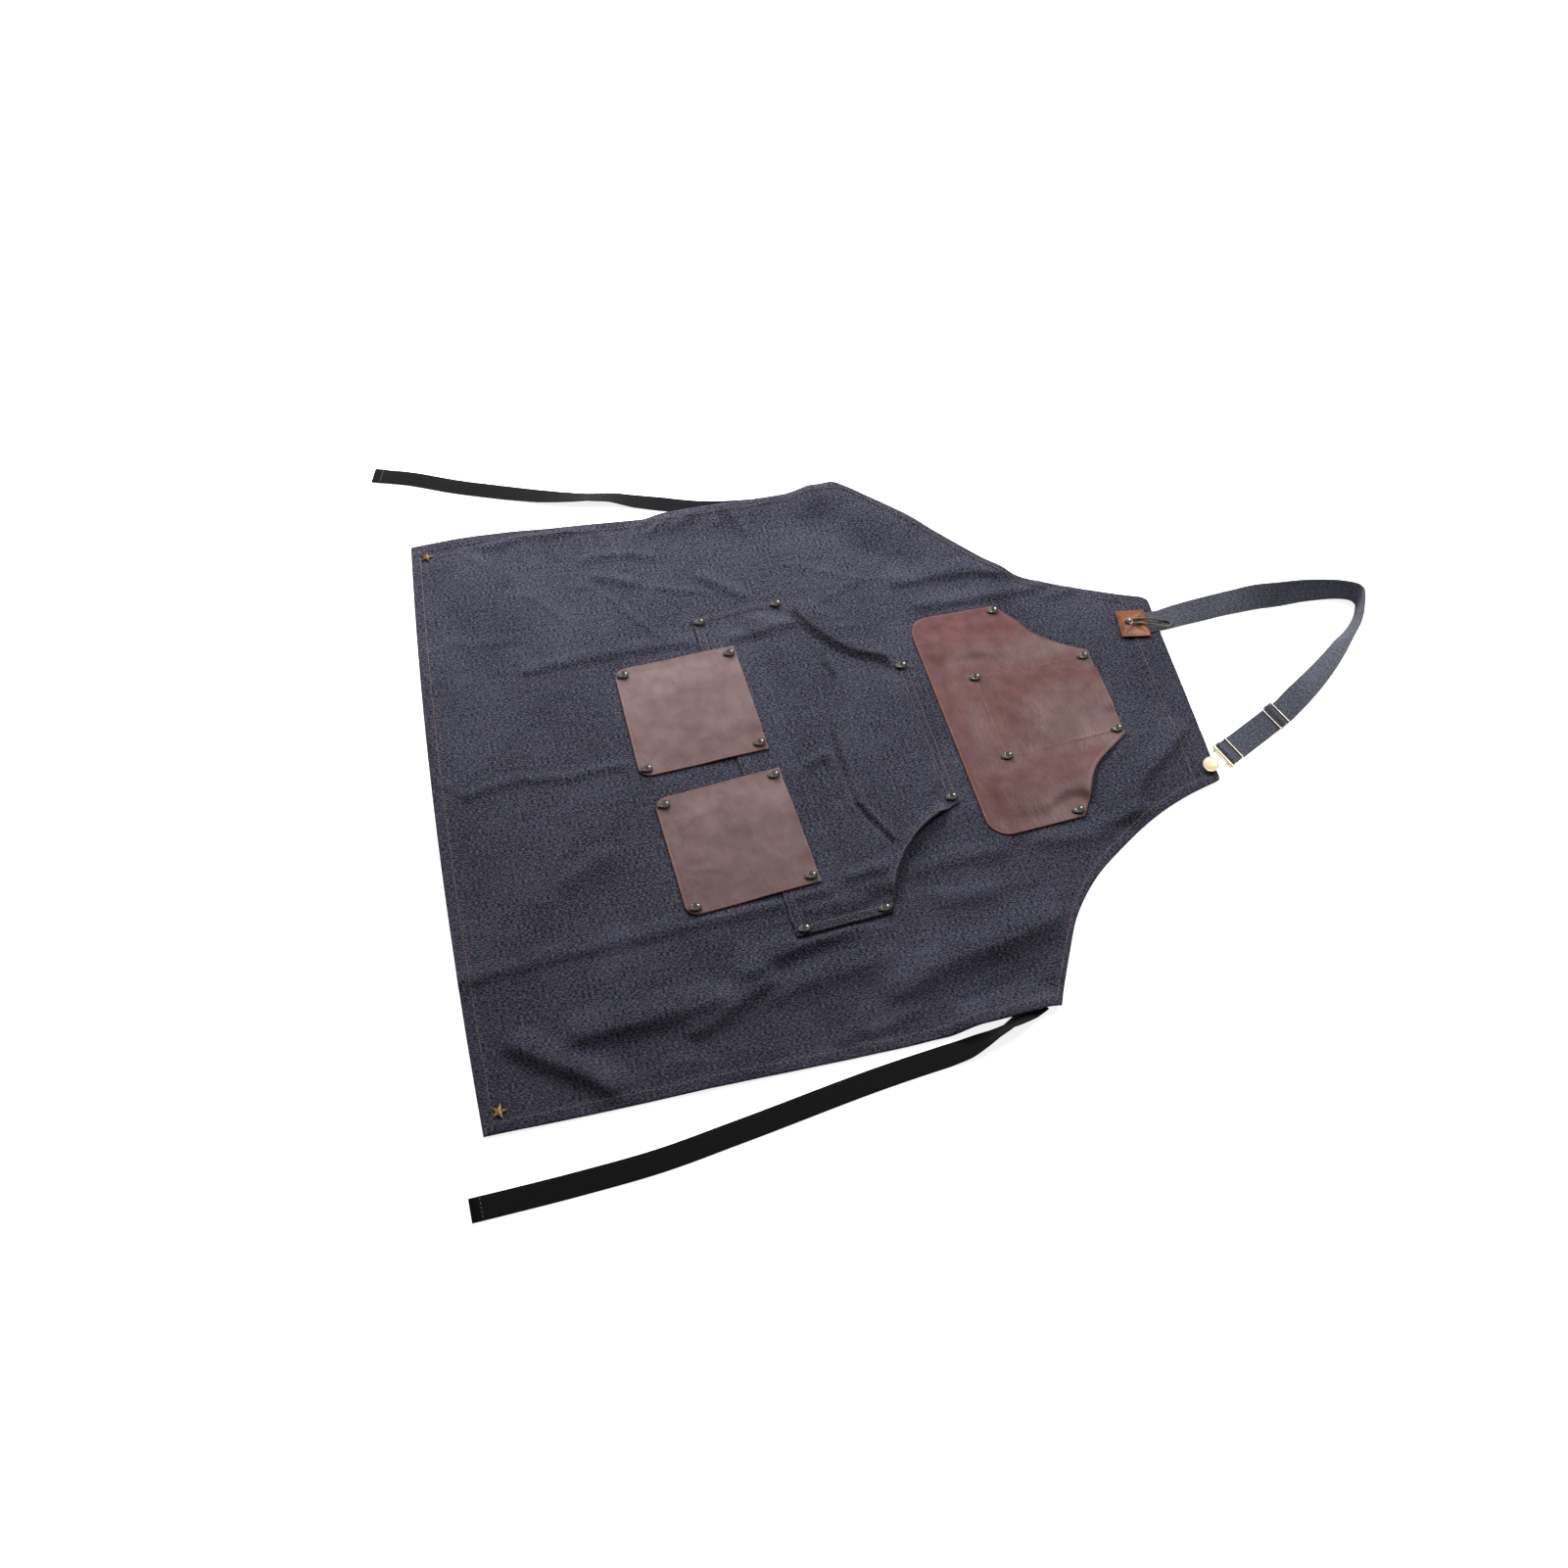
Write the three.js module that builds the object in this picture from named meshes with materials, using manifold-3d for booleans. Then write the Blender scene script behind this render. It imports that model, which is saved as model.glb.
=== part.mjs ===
// Denim work apron lying on its back: bib panel, pockets, neck strap, waist ties and metal trim.
// Millimetres. X runs across (+X is the wearer's left), Y from the hem to the bib, Z up from the surface.
import * as THREE from 'three';
import { mergeVertices } from 'three/addons/utils/BufferGeometryUtils.js';
import Module from 'manifold-3d';

const wasm = await Module();
wasm.setup();
const { smoothstep, lerp, degToRad } = THREE.MathUtils;

// Driving sizes of cloth, leather and wire
const GAP = 0.3;
const DENIM = 1.5;
const HEM = 2.6;
const HEM_WIDTH = 11;
const FACING_WIDTH = 25;
const HEM_STEP = 1.5;
const POCKET_CLOTH = 1.2;
const LEATHER = 1.6;
const STRAP_WIDTH = 28.4;
const STRAP = 1.4;
const TIE_WIDTH = 22;
const TIE = 1.2;
const WIRE = 0.8;
const CLEAR = 0.35;
const FLOOR_GAP = 0.1;
const HEM_BOW = 9;
const BIB_CORNER = 7;
const SKIRT_HEIGHT = 520;
const BIB_HEIGHT = 290;
const PANEL_COLUMNS = 22;
const STRAP_ON_BIB = HEM + CLEAR;

// The origin lies under the hand pocket, half the panel's length up from the hem
const PANEL_LENGTH = 800;

// Panel edges as it lies: a row for each height, with its left-hand and right-hand ends in plan
const SKIRT = [
  { farX: -362, farY: 11, nearX: 346, nearY: -7 },
  { farX: -366, farY: 88, nearX: 347, nearY: 80 },
  { farX: -359, farY: 195, nearX: 347, nearY: 200 },
  { farX: -353.5, farY: 300, nearX: 348, nearY: 320 },
  { farX: -355.5, farY: 409, nearX: 347, nearY: 430 },
  { farX: -357, farY: 506, nearX: 342, nearY: 532 },
];
const BIB = [
  { farX: -357, farY: 506, nearX: 342, nearY: 532 },
  { farX: -306, farY: 554, nearX: 294, nearY: 558 },
  { farX: -249.5, farY: 607, nearX: 252, nearY: 583 },
  { farX: -211, farY: 645, nearX: 216, nearY: 617 },
  { farX: -183, farY: 674, nearX: 188, nearY: 657 },
  { farX: -162, farY: 712, nearX: 163, nearY: 700 },
  { farX: -140, farY: 760, nearX: 145, nearY: 743 },
  { farX: -121, farY: 809, nearX: 133, nearY: 788 },
];

// Main folds: a rounded ridge along each line, its rise in the middle and how far its foot reaches
const FOLDS = [
  { x1: -352, y1: 508, x2: -235, y2: 628, rise: 9, reach: 38 },
  { x1: -351, y1: 310, x2: -350, y2: 465, rise: 5, reach: 46 },
  { x1: 343, y1: 452, x2: 341, y2: 512, rise: 10, reach: 34 },
  { x1: -222, y1: 428, x2: -198, y2: 592, rise: 4, reach: 26 },
  { x1: -198, y1: 592, x2: -168, y2: 690, rise: 4, reach: 26 },
  { x1: 258, y1: 236, x2: 240, y2: 288, rise: 6, reach: 26 },
  { x1: 303, y1: 198, x2: 266, y2: 268, rise: 6, reach: 26 },
  { x1: 279, y1: 92, x2: 278, y2: 195, rise: 5, reach: 28 },
  { x1: 282, y1: 34, x2: 330, y2: 94, rise: 6, reach: 30 },
  { x1: 332, y1: 340, x2: 290, y2: 500, rise: 6, reach: 34 },
  { x1: 280, y1: 290, x2: 262, y2: 372, rise: 4, reach: 26 },
  { x1: 196, y1: 14, x2: 190, y2: 172, rise: 4, reach: 24 },
  { x1: -283, y1: 177, x2: -240, y2: 320, rise: 3, reach: 30 },
  { x1: -336, y1: 40, x2: -318, y2: 150, rise: 3, reach: 28 },
];

// Pockets: the left-hand and right-hand edges from the lowest row to the top one
const HAND_POCKET = [
  { farX: -193, farY: 295.5, nearX: 216, nearY: 308.5 },
  { farX: -199, farY: 350, nearX: 213, nearY: 360 },
  { farX: -202, farY: 399, nearX: 210, nearY: 407 },
];
const HAND_POCKET_MOUTH = [
  { farX: -202, farY: 399, nearX: 210, nearY: 407 },
  { farX: -167, farY: 415, nearX: 172, nearY: 422 },
  { farX: -135, farY: 434, nearX: 143, nearY: 443 },
  { farX: -107, farY: 463, nearX: 121, nearY: 470 },
  { farX: -88, farY: 511, nearX: 101, nearY: 511 },
];
const CHEST_SIDE = [
  { farX: -144, farY: 552, nearX: 150, nearY: 553 },
  { farX: -145, farY: 634, nearX: 145, nearY: 632 },
];
const CHEST_WING = [
  { farX: -145, farY: 634, nearX: 145, nearY: 632 },
  { farX: -121, farY: 648, nearX: 121, nearY: 647 },
  { farX: -90, farY: 667, nearX: 88, nearY: 667 },
  { farX: -62, farY: 714, nearX: 55, nearY: 713 },
];
const CHEST_BOTTOM_Y = 528;
const CHEST_CORNER = 24;
const LEATHER_POCKETS = {
  right: { lowFar: [-141, 199], lowNear: [2.5, 199.5], topFar: [-147, 333], topNear: [-4.5, 337] },
  left: { lowFar: [31.5, 207], lowNear: [172, 212], topFar: [20.5, 341], topNear: [161.5, 348] },
};
const LEATHER_CORNER = 13;
const HAND_LIFT = 5.2;
const LEATHER_LIFT = 6.5;
const CHEST_LIFT = 5.2;
const PRESSED_Y = 352;
const PRESSED_LINE = [[-150, PRESSED_Y], [170, PRESSED_Y + 12]];
const BED_RAMP = { from: 24, to: 10 };

// Studs in plan, a row for each
const HAND_STUDS = [
  [-187, 303], [-196, 392], [-82, 504], [94, 504], [204, 400], [209, 318],
];
const LEATHER_STUDS = {
  right: [[-131.5, 208], [-6.5, 208.5], [-137, 325], [-13.5, 328.5]],
  left: [[40.5, 216.5], [163, 221.5], [29, 333], [153.5, 339.5]],
};
const CHEST_STUDS = [
  [-137, 628], [137, 627], [-54, 705], [48, 705], [-50, 578], [57, 578],
];
const HEM_STARS = { right: [-343.5, 26], left: [326, 9.5] };
const STUD_LENGTH = 13.5;
const STUD_WIDTH = 9.5;
const STUD_HEIGHT = 6;
const STAR_RADIUS = 8;
const STAR_HEIGHT = 3;

// Neck strap: the middle of its width in plan, the lift of its lowest edge and its bank in degrees
const NECK_STRAP = [
  { x: -83.5, y: 766, lift: STRAP_ON_BIB, bank: 0 },
  { x: -84.5, y: 800, lift: STRAP_ON_BIB, bank: 0 },
  { x: -85.5, y: 814, lift: 2.7, bank: 0 },
  { x: -88, y: 832, lift: 1.2, bank: 6 },
  { x: -90, y: 855, lift: 0.1, bank: 12 },
  { x: -92.5, y: 889, lift: 0.1, bank: 14 },
  { x: -92.6, y: 909, lift: 0.1, bank: 20 },
  { x: -91.3, y: 930, lift: 0.1, bank: 35 },
  { x: -88, y: 949, lift: 0.1, bank: 50 },
  { x: -84.5, y: 988, lift: 0.1, bank: 69 },
  { x: -81.5, y: 1008, lift: 0.1, bank: 77 },
  { x: -77.3, y: 1027, lift: 0.1, bank: 85 },
  { x: -74, y: 1036, lift: 0.1, bank: 88 },
  { x: -69.3, y: 1043, lift: 0.1, bank: 90 },
  { x: -63.5, y: 1045, lift: 0.1, bank: 90 },
  { x: -56, y: 1042, lift: 0.1, bank: 88 },
  { x: -42.2, y: 1033, lift: 0.1, bank: 82 },
  { x: -24.7, y: 1017.5, lift: 0.1, bank: 68 },
  { x: -9.4, y: 998, lift: 0.1, bank: 54 },
  { x: 6.2, y: 979, lift: 0.1, bank: 42 },
  { x: 20.4, y: 960, lift: 0.1, bank: 30 },
  { x: 34.4, y: 939, lift: 0.1, bank: 17 },
  { x: 48, y: 917, lift: 0.1, bank: 5 },
];
const STRAP_STEPS = 2;

// The strap's adjustable end runs straight from the slider to the button: places along that line
const SLIDER_CENTRE = new THREE.Vector3(67.8, 881.9, 0);
const END_LINE = new THREE.Vector3(0.43, -0.903, 0).normalize();
const END_ACROSS = new THREE.Vector3(0.95, 0.31, 0).normalize();
const SLIDER_HALF = 8;
const BUCKLE_TOP_AT = 70.5;
const BUCKLE_MIDDLE_AT = 79;
const BUCKLE_FOOT_AT = 87.5;
const BUTTON_AT = 110;
const BAR_HALF = STRAP_WIDTH / 2 + 1.1;
const FOOT_BAR = 1.3;

// Waist ties: middle of the width in plan, lift of the lowest edge and bank
const TIE_LEFT = [
  { x: 333, y: 514, lift: 0.6, bank: 12 },
  { x: 341, y: 499, lift: 0.1, bank: 24 },
  { x: 347.5, y: 487, lift: 0.1, bank: 45 },
  { x: 352, y: 475, lift: 0.1, bank: 58 },
  { x: 356, y: 460, lift: 0.1, bank: 48 },
  { x: 359.2, y: 446, lift: 0.1, bank: 29 },
  { x: 362, y: 432, lift: 0.1, bank: 11 },
  { x: 364, y: 412, lift: 0.1, bank: 0 },
  { x: 369.2, y: 362, lift: 0.1, bank: 0 },
  { x: 391.2, y: 210, lift: 0.1, bank: 0 },
  { x: 401, y: 137, lift: 0.1, bank: 0 },
  { x: 405, y: 67, lift: 0.1, bank: 0 },
  { x: 407.5, y: -27, lift: 0.1, bank: 0 },
];
const TIE_RIGHT = [
  { x: -342, y: 506, lift: 3.6, bank: 0 },
  { x: -347, y: 470, lift: 1.6, bank: 0 },
  { x: -352, y: 410, lift: 0.1, bank: 0 },
  { x: -361, y: 345, lift: 0.1, bank: 0 },
  { x: -377.5, y: 296, lift: 0.1, bank: 0 },
  { x: -386, y: 270, lift: 0.1, bank: 5 },
  { x: -395, y: 244, lift: 0.1, bank: 18 },
  { x: -399.5, y: 218, lift: 0.1, bank: 24 },
  { x: -407, y: 190, lift: 0.1, bank: 14 },
  { x: -415.7, y: 163.5, lift: 0.1, bank: 5 },
  { x: -430, y: 125, lift: 0.1, bank: 0 },
  { x: -450.5, y: 72, lift: 0.1, bank: 0 },
  { x: -474, y: 21, lift: 0.1, bank: 0 },
  { x: -487, y: -18, lift: 0.1, bank: 0 },
];
const TIE_STEPS = 2;

// Tab, its stud and lace
const TAB = { x: -85.5, y: 777, across: 38, along: 33, turn: -9 };
const TAB_PUFF = 1.1;
const TAB_STUD = { x: -88, y: 772, radius: 4.5, height: 4.2 };
const LACE_RADIUS = 1;
const LACE = [
  { x: -89.5, y: 778.2 }, { x: -88, y: 788 }, { x: -85.5, y: 800 }, { x: -83, y: 811 },
  { x: -81, y: 817 }, { x: -76.8, y: 820 }, { x: -73.2, y: 816.5 }, { x: -74.5, y: 808 },
  { x: -78, y: 796 }, { x: -81.5, y: 785 }, { x: -83.6, y: 776.6 },
];
const LACE_DROP = { from: 797, to: 815 };

// Button on the bib's left corner
const BUTTON = { neck: 2.6, collar: 6.5, cap: 8.4, height: 8 };

const COLOURS = {
  denim: { color: 0x3d3f4c, roughness: 0.95, metalness: 0 },
  leather: { color: 0x6a4640, roughness: 0.5, metalness: 0 },
  tabLeather: { color: 0x9a5b3a, roughness: 0.5, metalness: 0 },
  webbing: { color: 0x17171a, roughness: 0.9, metalness: 0 },
  gunmetal: { color: 0x3a3836, roughness: 0.25, metalness: 1 },
  brass: { color: 0x6e5638, roughness: 0.4, metalness: 1 },
  paleGold: { color: 0xd8bf94, roughness: 0.3, metalness: 1 },
  lace: { color: 0x4a3b26, roughness: 0.7, metalness: 0 },
};

const apron = new THREE.Group();
apron.position.y = -PANEL_LENGTH / 2;

function addPiece(name, geometry, finish) {
  const piece = new THREE.Mesh(geometry, new THREE.MeshStandardMaterial(COLOURS[finish]));
  piece.name = name;
  apron.add(piece);
  return piece;
}

function geometryFrom(positions, triangles) {
  const geometry = new THREE.BufferGeometry();
  geometry.setAttribute('position', new THREE.Float32BufferAttribute(positions, 3));
  geometry.setIndex(triangles);
  geometry.computeVertexNormals();
  return geometry;
}

// Sheets ruled between two edges

function edgeCurve(rows, side) {
  return new THREE.SplineCurve(rows.map((row) => new THREE.Vector2(row[side + 'X'], row[side + 'Y'])));
}

// A row of points from the far edge to the near one, with the given distances in from each edge
function ruledRow(far, near, insets, innerCount) {
  const width = far.distanceTo(near);
  const first = insets.length ? insets[insets.length - 1] : 0;
  const distances = [0, ...insets];
  for (let i = 1; i < innerCount; i++) distances.push(lerp(first, width - first, i / innerCount));
  const mirrored = [0, ...insets].map((inset) => width - inset).reverse();
  return [...distances, ...mirrored].map((along) => far.clone().lerp(near, along / width));
}

// A closed sheet over rows of plan points, between its underside and its face
function sheetSolid(rows, underside, wall) {
  const positions = [];
  const triangles = [];
  const columns = rows[0].length;
  const layer = rows.length * columns;
  rows.forEach((row, j) => row.forEach((point, i) => {
    positions.push(point.x, point.y, underside(point, i, j));
  }));
  rows.forEach((row, j) => row.forEach((point, i) => {
    positions.push(point.x, point.y, underside(point, i, j) + wall(point, i, j));
  }));
  const at = (i, j) => j * columns + i;
  for (let j = 0; j < rows.length - 1; j++) {
    for (let i = 0; i < columns - 1; i++) {
      const [a, b, c, d] = [at(i, j), at(i + 1, j), at(i + 1, j + 1), at(i, j + 1)];
      triangles.push(a, c, b, a, d, c);
      triangles.push(a + layer, b + layer, c + layer, a + layer, c + layer, d + layer);
    }
  }
  const rim = [];
  for (let i = 0; i < columns - 1; i++) rim.push(at(i, 0));
  for (let j = 0; j < rows.length - 1; j++) rim.push(at(columns - 1, j));
  for (let i = columns - 1; i > 0; i--) rim.push(at(i, rows.length - 1));
  for (let j = rows.length - 1; j > 0; j--) rim.push(at(0, j));
  rim.forEach((a, k) => {
    const b = rim[(k + 1) % rim.length];
    triangles.push(a, b, b + layer, a, b + layer, a + layer);
  });
  return geometryFrom(positions, triangles);
}

function distanceToSegment(x, y, { x1, y1, x2, y2 }) {
  const [dx, dy] = [x2 - x1, y2 - y1];
  const along = THREE.MathUtils.clamp(((x - x1) * dx + (y - y1) * dy) / (dx * dx + dy * dy), 0, 1);
  return Math.hypot(x - x1 - along * dx, y - y1 - along * dy);
}

// Panel

function panelUnderside(x, y) {
  let height = 0;
  for (const fold of FOLDS) {
    const share = distanceToSegment(x, y, fold) / fold.reach;
    if (share < 1) height += fold.rise * (1 - share * share) ** 2;
  }
  return height;
}

function panelRows() {
  const skirtSteps = [0, HEM_WIDTH / SKIRT_HEIGHT, (HEM_WIDTH + HEM_STEP) / SKIRT_HEIGHT];
  const skirtInner = 17;
  for (let k = 1; k <= skirtInner; k++) skirtSteps.push(lerp(skirtSteps[2], 1, k / skirtInner));
  const bibSteps = [];
  const bibInner = 11;
  const facingStart = 1 - (FACING_WIDTH + HEM_STEP) / BIB_HEIGHT;
  for (let k = 1; k <= bibInner; k++) bibSteps.push(lerp(0, facingStart, k / bibInner));
  bibSteps.push(1 - FACING_WIDTH / BIB_HEIGHT, 1 - BIB_CORNER / BIB_HEIGHT, 1);
  const rows = [];
  const addRows = (table, steps, bow) => {
    const [farEdge, nearEdge] = [edgeCurve(table, 'far'), edgeCurve(table, 'near')];
    for (const step of steps) {
      const row = ruledRow(farEdge.getPointAt(step), nearEdge.getPointAt(step),
        [HEM_WIDTH, HEM_WIDTH + HEM_STEP], PANEL_COLUMNS);
      row.forEach((point, i) => {
        const across = i / (row.length - 1) * 2 - 1;
        point.y -= bow * (1 - step) * (1 - across * across);
      });
      rows.push(row);
    }
  };
  addRows(SKIRT, skirtSteps, HEM_BOW);
  addRows(BIB, bibSteps, 0);
  const top = rows[rows.length - 1];
  top[0].lerp(top[1], BIB_CORNER / HEM_WIDTH);
  top[top.length - 1].lerp(top[top.length - 2], BIB_CORNER / 2 / HEM_WIDTH);
  return rows;
}

function makePanel() {
  const rows = panelRows();
  const lastRow = rows.length - 1;
  const lastColumn = rows[0].length - 1;
  const inHem = (i, j) => i < 2 || i > lastColumn - 2 || j < 2 || j > lastRow - 3;
  const wall = (point, i, j) => (inHem(i, j) ? HEM : DENIM);
  return sheetSolid(rows, (point) => panelUnderside(point.x, point.y), wall);
}

// Pockets: each is pressed flat along its seams and round its studs, and stands off between them

const SEAM_FLAT = 4;
const STUD_FLAT = 9;
const PUFF_RAMP = 22;

function puff(x, y, seams, studs) {
  let clear = Infinity;
  for (const seam of seams) clear = Math.min(clear, distanceToSegment(x, y, seam) - SEAM_FLAT);
  for (const [studX, studY] of studs) clear = Math.min(clear, Math.hypot(x - studX, y - studY) - STUD_FLAT);
  return smoothstep(clear, 0, PUFF_RAMP);
}

function seam([x1, y1], [x2, y2]) {
  return { x1, y1, x2, y2 };
}

const farEnd = (row) => [row.farX, row.farY];
const nearEnd = (row) => [row.nearX, row.nearY];
const handLow = HAND_POCKET[0];
const handSide = HAND_POCKET_MOUTH[0];
const handTop = HAND_POCKET_MOUTH[HAND_POCKET_MOUTH.length - 1];
const handSeams = [
  seam(farEnd(handLow), nearEnd(handLow)),
  seam(farEnd(handLow), farEnd(handSide)),
  seam(nearEnd(handLow), nearEnd(handSide)),
  seam(farEnd(handTop), nearEnd(handTop)),
  seam(...PRESSED_LINE),
];

// Rows of a sheet between the two edges of a table
function tableRows(table, steps, insets, columns) {
  const [farEdge, nearEdge] = [edgeCurve(table, 'far'), edgeCurve(table, 'near')];
  return steps.map((step) => ruledRow(farEdge.getPointAt(step), nearEdge.getPointAt(step), insets, columns));
}

function handUnderside(x, y) {
  const pressed = y < PRESSED_Y ? 0 : 1;
  return DENIM + GAP + pressed * HAND_LIFT * puff(x, y, handSeams, HAND_STUDS);
}

function makeHandPocket() {
  const columns = 20;
  const rows = [
    ...tableRows(HAND_POCKET, [0, 0.25, 0.5, 0.75, 1], [10], columns),
    ...tableRows(HAND_POCKET_MOUTH, [0.14, 0.28, 0.42, 0.56, 0.7, 0.84, 1], [10], columns),
  ];
  return sheetSolid(rows, (point) => handUnderside(point.x, point.y), () => POCKET_CLOTH);
}

// What a leather pocket lies on: the panel, stepping up onto the hand pocket's lower edge
function leatherBed(x, y) {
  const across = (x - handLow.farX) / (handLow.nearX - handLow.farX);
  const edge = lerp(handLow.farY, handLow.nearY, across);
  return DENIM + GAP + (POCKET_CLOTH + GAP) * smoothstep(y, edge - BED_RAMP.from, edge - BED_RAMP.to);
}

function leatherRows({ lowFar, lowNear, topFar, topNear }) {
  const corner = (pair) => new THREE.Vector2(...pair);
  const [low, lowEnd, top, topEnd] = [lowFar, lowNear, topFar, topNear].map(corner);
  const height = low.distanceTo(top);
  const rows = [];
  for (const angle of [0, 30, 60, 90]) {
    const up = LEATHER_CORNER * (1 - Math.cos(degToRad(angle))) / height;
    const inset = LEATHER_CORNER * (1 - Math.sin(degToRad(angle)));
    const far = low.clone().lerp(top, up);
    const near = lowEnd.clone().lerp(topEnd, up);
    const width = far.distanceTo(near);
    rows.push([far.clone().lerp(near, inset / width), near.clone().lerp(far, inset / width)]);
  }
  const steps = 9;
  for (let k = 1; k <= steps; k++) {
    const up = lerp(LEATHER_CORNER / height, 1, k / steps);
    rows.push([low.clone().lerp(top, up), lowEnd.clone().lerp(topEnd, up)]);
  }
  return rows.map(([far, near]) => ruledRow(far, near, [8], 9));
}

function leatherUnderside(x, y, side) {
  const { lowFar, lowNear, topFar, topNear } = LEATHER_POCKETS[side];
  const seams = [seam(lowFar, lowNear), seam(lowFar, topFar), seam(lowNear, topNear)];
  return leatherBed(x, y) + LEATHER_LIFT * puff(x, y, seams, LEATHER_STUDS[side]);
}

function makeLeatherPocket(side) {
  const rows = leatherRows(LEATHER_POCKETS[side]);
  return sheetSolid(rows, (point) => leatherUnderside(point.x, point.y, side), () => LEATHER);
}

const chestLow = CHEST_SIDE[0];
const [chestCornerFar, chestCornerNear, chestTopFar, chestTopNear] = CHEST_STUDS;
const [chestInnerFar, chestInnerNear] = CHEST_STUDS.slice(4);
const chestSeams = [
  seam(farEnd(chestLow), [chestLow.farX, chestCornerFar[1]]),
  seam(nearEnd(chestLow), [chestLow.nearX, chestCornerNear[1]]),
  seam([chestLow.farX + CHEST_CORNER, CHEST_BOTTOM_Y], [chestLow.nearX - CHEST_CORNER, CHEST_BOTTOM_Y]),
  seam(chestInnerFar, chestInnerNear),
  seam(chestInnerFar, chestTopFar),
  seam(chestInnerNear, chestTopNear),
];

function chestUnderside(x, y) {
  return DENIM + GAP + CHEST_LIFT * puff(x, y, chestSeams, CHEST_STUDS);
}

function makeChestPocket() {
  const columns = 19;
  const insets = [8];
  const rows = [0, 30, 60].map((angle) => {
    const rise = CHEST_CORNER * Math.cos(degToRad(angle));
    const inset = CHEST_CORNER * (1 - Math.sin(degToRad(angle)));
    const far = new THREE.Vector2(chestLow.farX + inset, chestLow.farY - rise);
    const near = new THREE.Vector2(chestLow.nearX - inset, chestLow.nearY - rise);
    return ruledRow(far, near, insets, columns);
  });
  rows.push(...tableRows(CHEST_SIDE, [0, 0.33, 0.66, 1], insets, columns));
  rows.push(...tableRows(CHEST_WING, [0.2, 0.4, 0.6, 0.8, 1], insets, columns));
  return sheetSolid(rows, (point) => chestUnderside(point.x, point.y), () => LEATHER);
}

// Studs

// A skull stud: egg-shaped in plan with the jaw towards the hem, domed, with two eye hollows
function makeSkullStud() {
  const sides = 12;
  const eyeRing = { share: 0.42, z: 5.6 };
  const rings = [{ share: 1, z: 0 }, { share: 1, z: 1.2 }, { share: 0.8, z: 4 }, eyeRing];
  const eyeDepth = 1.6;
  const positions = [];
  const triangles = [];
  for (const ring of rings) {
    for (let k = 0; k < sides; k++) {
      const angle = (k / sides) * 2 * Math.PI + Math.PI / 2;
      const jaw = 0.84 + 0.16 * Math.sin(angle);
      const isEye = ring === eyeRing && (k === 4 || k === 8);
      positions.push(
        ring.share * jaw * Math.cos(angle) * STUD_WIDTH / 2,
        ring.share * Math.sin(angle) * STUD_LENGTH / 2,
        (ring.z - (isEye ? eyeDepth : 0)) * STUD_HEIGHT / 6,
      );
    }
  }
  const base = positions.length / 3;
  positions.push(0, 0, 0, 0, 0, STUD_HEIGHT);
  const lastRing = (rings.length - 1) * sides;
  for (let k = 0; k < sides; k++) {
    const next = (k + 1) % sides;
    triangles.push(base, next, k, base + 1, lastRing + k, lastRing + next);
    for (let r = 0; r < lastRing; r += sides) {
      triangles.push(r + k, r + next, r + sides + next, r + k, r + sides + next, r + sides + k);
    }
  }
  return geometryFrom(positions, triangles);
}

// A five-pointed star with ridges from its peak to its points
function makeStar() {
  const rim = 0.8;
  const positions = [];
  const triangles = [];
  for (const z of [0, rim]) {
    for (let k = 0; k < 10; k++) {
      const radius = k % 2 ? STAR_RADIUS * 0.42 : STAR_RADIUS;
      const angle = (k / 10) * 2 * Math.PI + Math.PI / 2;
      positions.push(radius * Math.cos(angle), radius * Math.sin(angle), z);
    }
  }
  positions.push(0, 0, 0, 0, 0, STAR_HEIGHT);
  for (let k = 0; k < 10; k++) {
    const next = (k + 1) % 10;
    triangles.push(20, next, k, 21, 10 + k, 10 + next, k, next, 10 + next, k, 10 + next, 10 + k);
  }
  return geometryFrom(positions, triangles);
}

// A stud rests on the highest point of the piece under its base
function seatStud(name, geometry, finish, [x, y], reach, bed) {
  const down = new THREE.Vector3(0, 0, -1);
  const high = 100;
  const sides = 12;
  let height = 0;
  apron.updateMatrixWorld(true);
  for (const share of [0, 0.5, 1]) {
    for (let k = 0; k < sides; k++) {
      const angle = (k / sides) * 2 * Math.PI;
      const aside = share * reach.x * Math.cos(angle);
      const ahead = share * reach.y * Math.sin(angle);
      const start = new THREE.Vector3(x + aside, y + ahead, high);
      const hits = new THREE.Raycaster(apron.localToWorld(start), down).intersectObject(bed);
      if (hits.length) height = Math.max(height, hits[0].point.z);
    }
  }
  addPiece(name, geometry, finish).position.set(x, y, height + GAP);
}

// Straps and ties

// A closed ribbon through stations, each with its middle and the direction of its width
function ribbonSolid(stations, width, wall) {
  const positions = [];
  const triangles = [];
  const last = stations.length - 1;
  stations.forEach(({ middle, across }, k) => {
    const before = stations[Math.max(k - 1, 0)].middle;
    const after = stations[Math.min(k + 1, last)].middle;
    const ahead = after.clone().sub(before).normalize();
    const face = ahead.clone().cross(across).normalize();
    for (const [u, v] of [[-1, -1], [1, -1], [1, 1], [-1, 1]]) {
      const corner = middle.clone().addScaledVector(across, u * width / 2);
      corner.addScaledVector(face, v * wall / 2);
      positions.push(corner.x, corner.y, corner.z);
    }
  });
  for (let k = 0; k < last; k++) {
    for (let side = 0; side < 4; side++) {
      const a = k * 4 + side;
      const b = k * 4 + (side + 1) % 4;
      triangles.push(a, b, b + 4, a, b + 4, a + 4);
    }
  }
  const end = last * 4;
  triangles.push(0, 2, 1, 0, 3, 2, end, end + 1, end + 2, end, end + 2, end + 3);
  return geometryFrom(positions, triangles);
}

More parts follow.
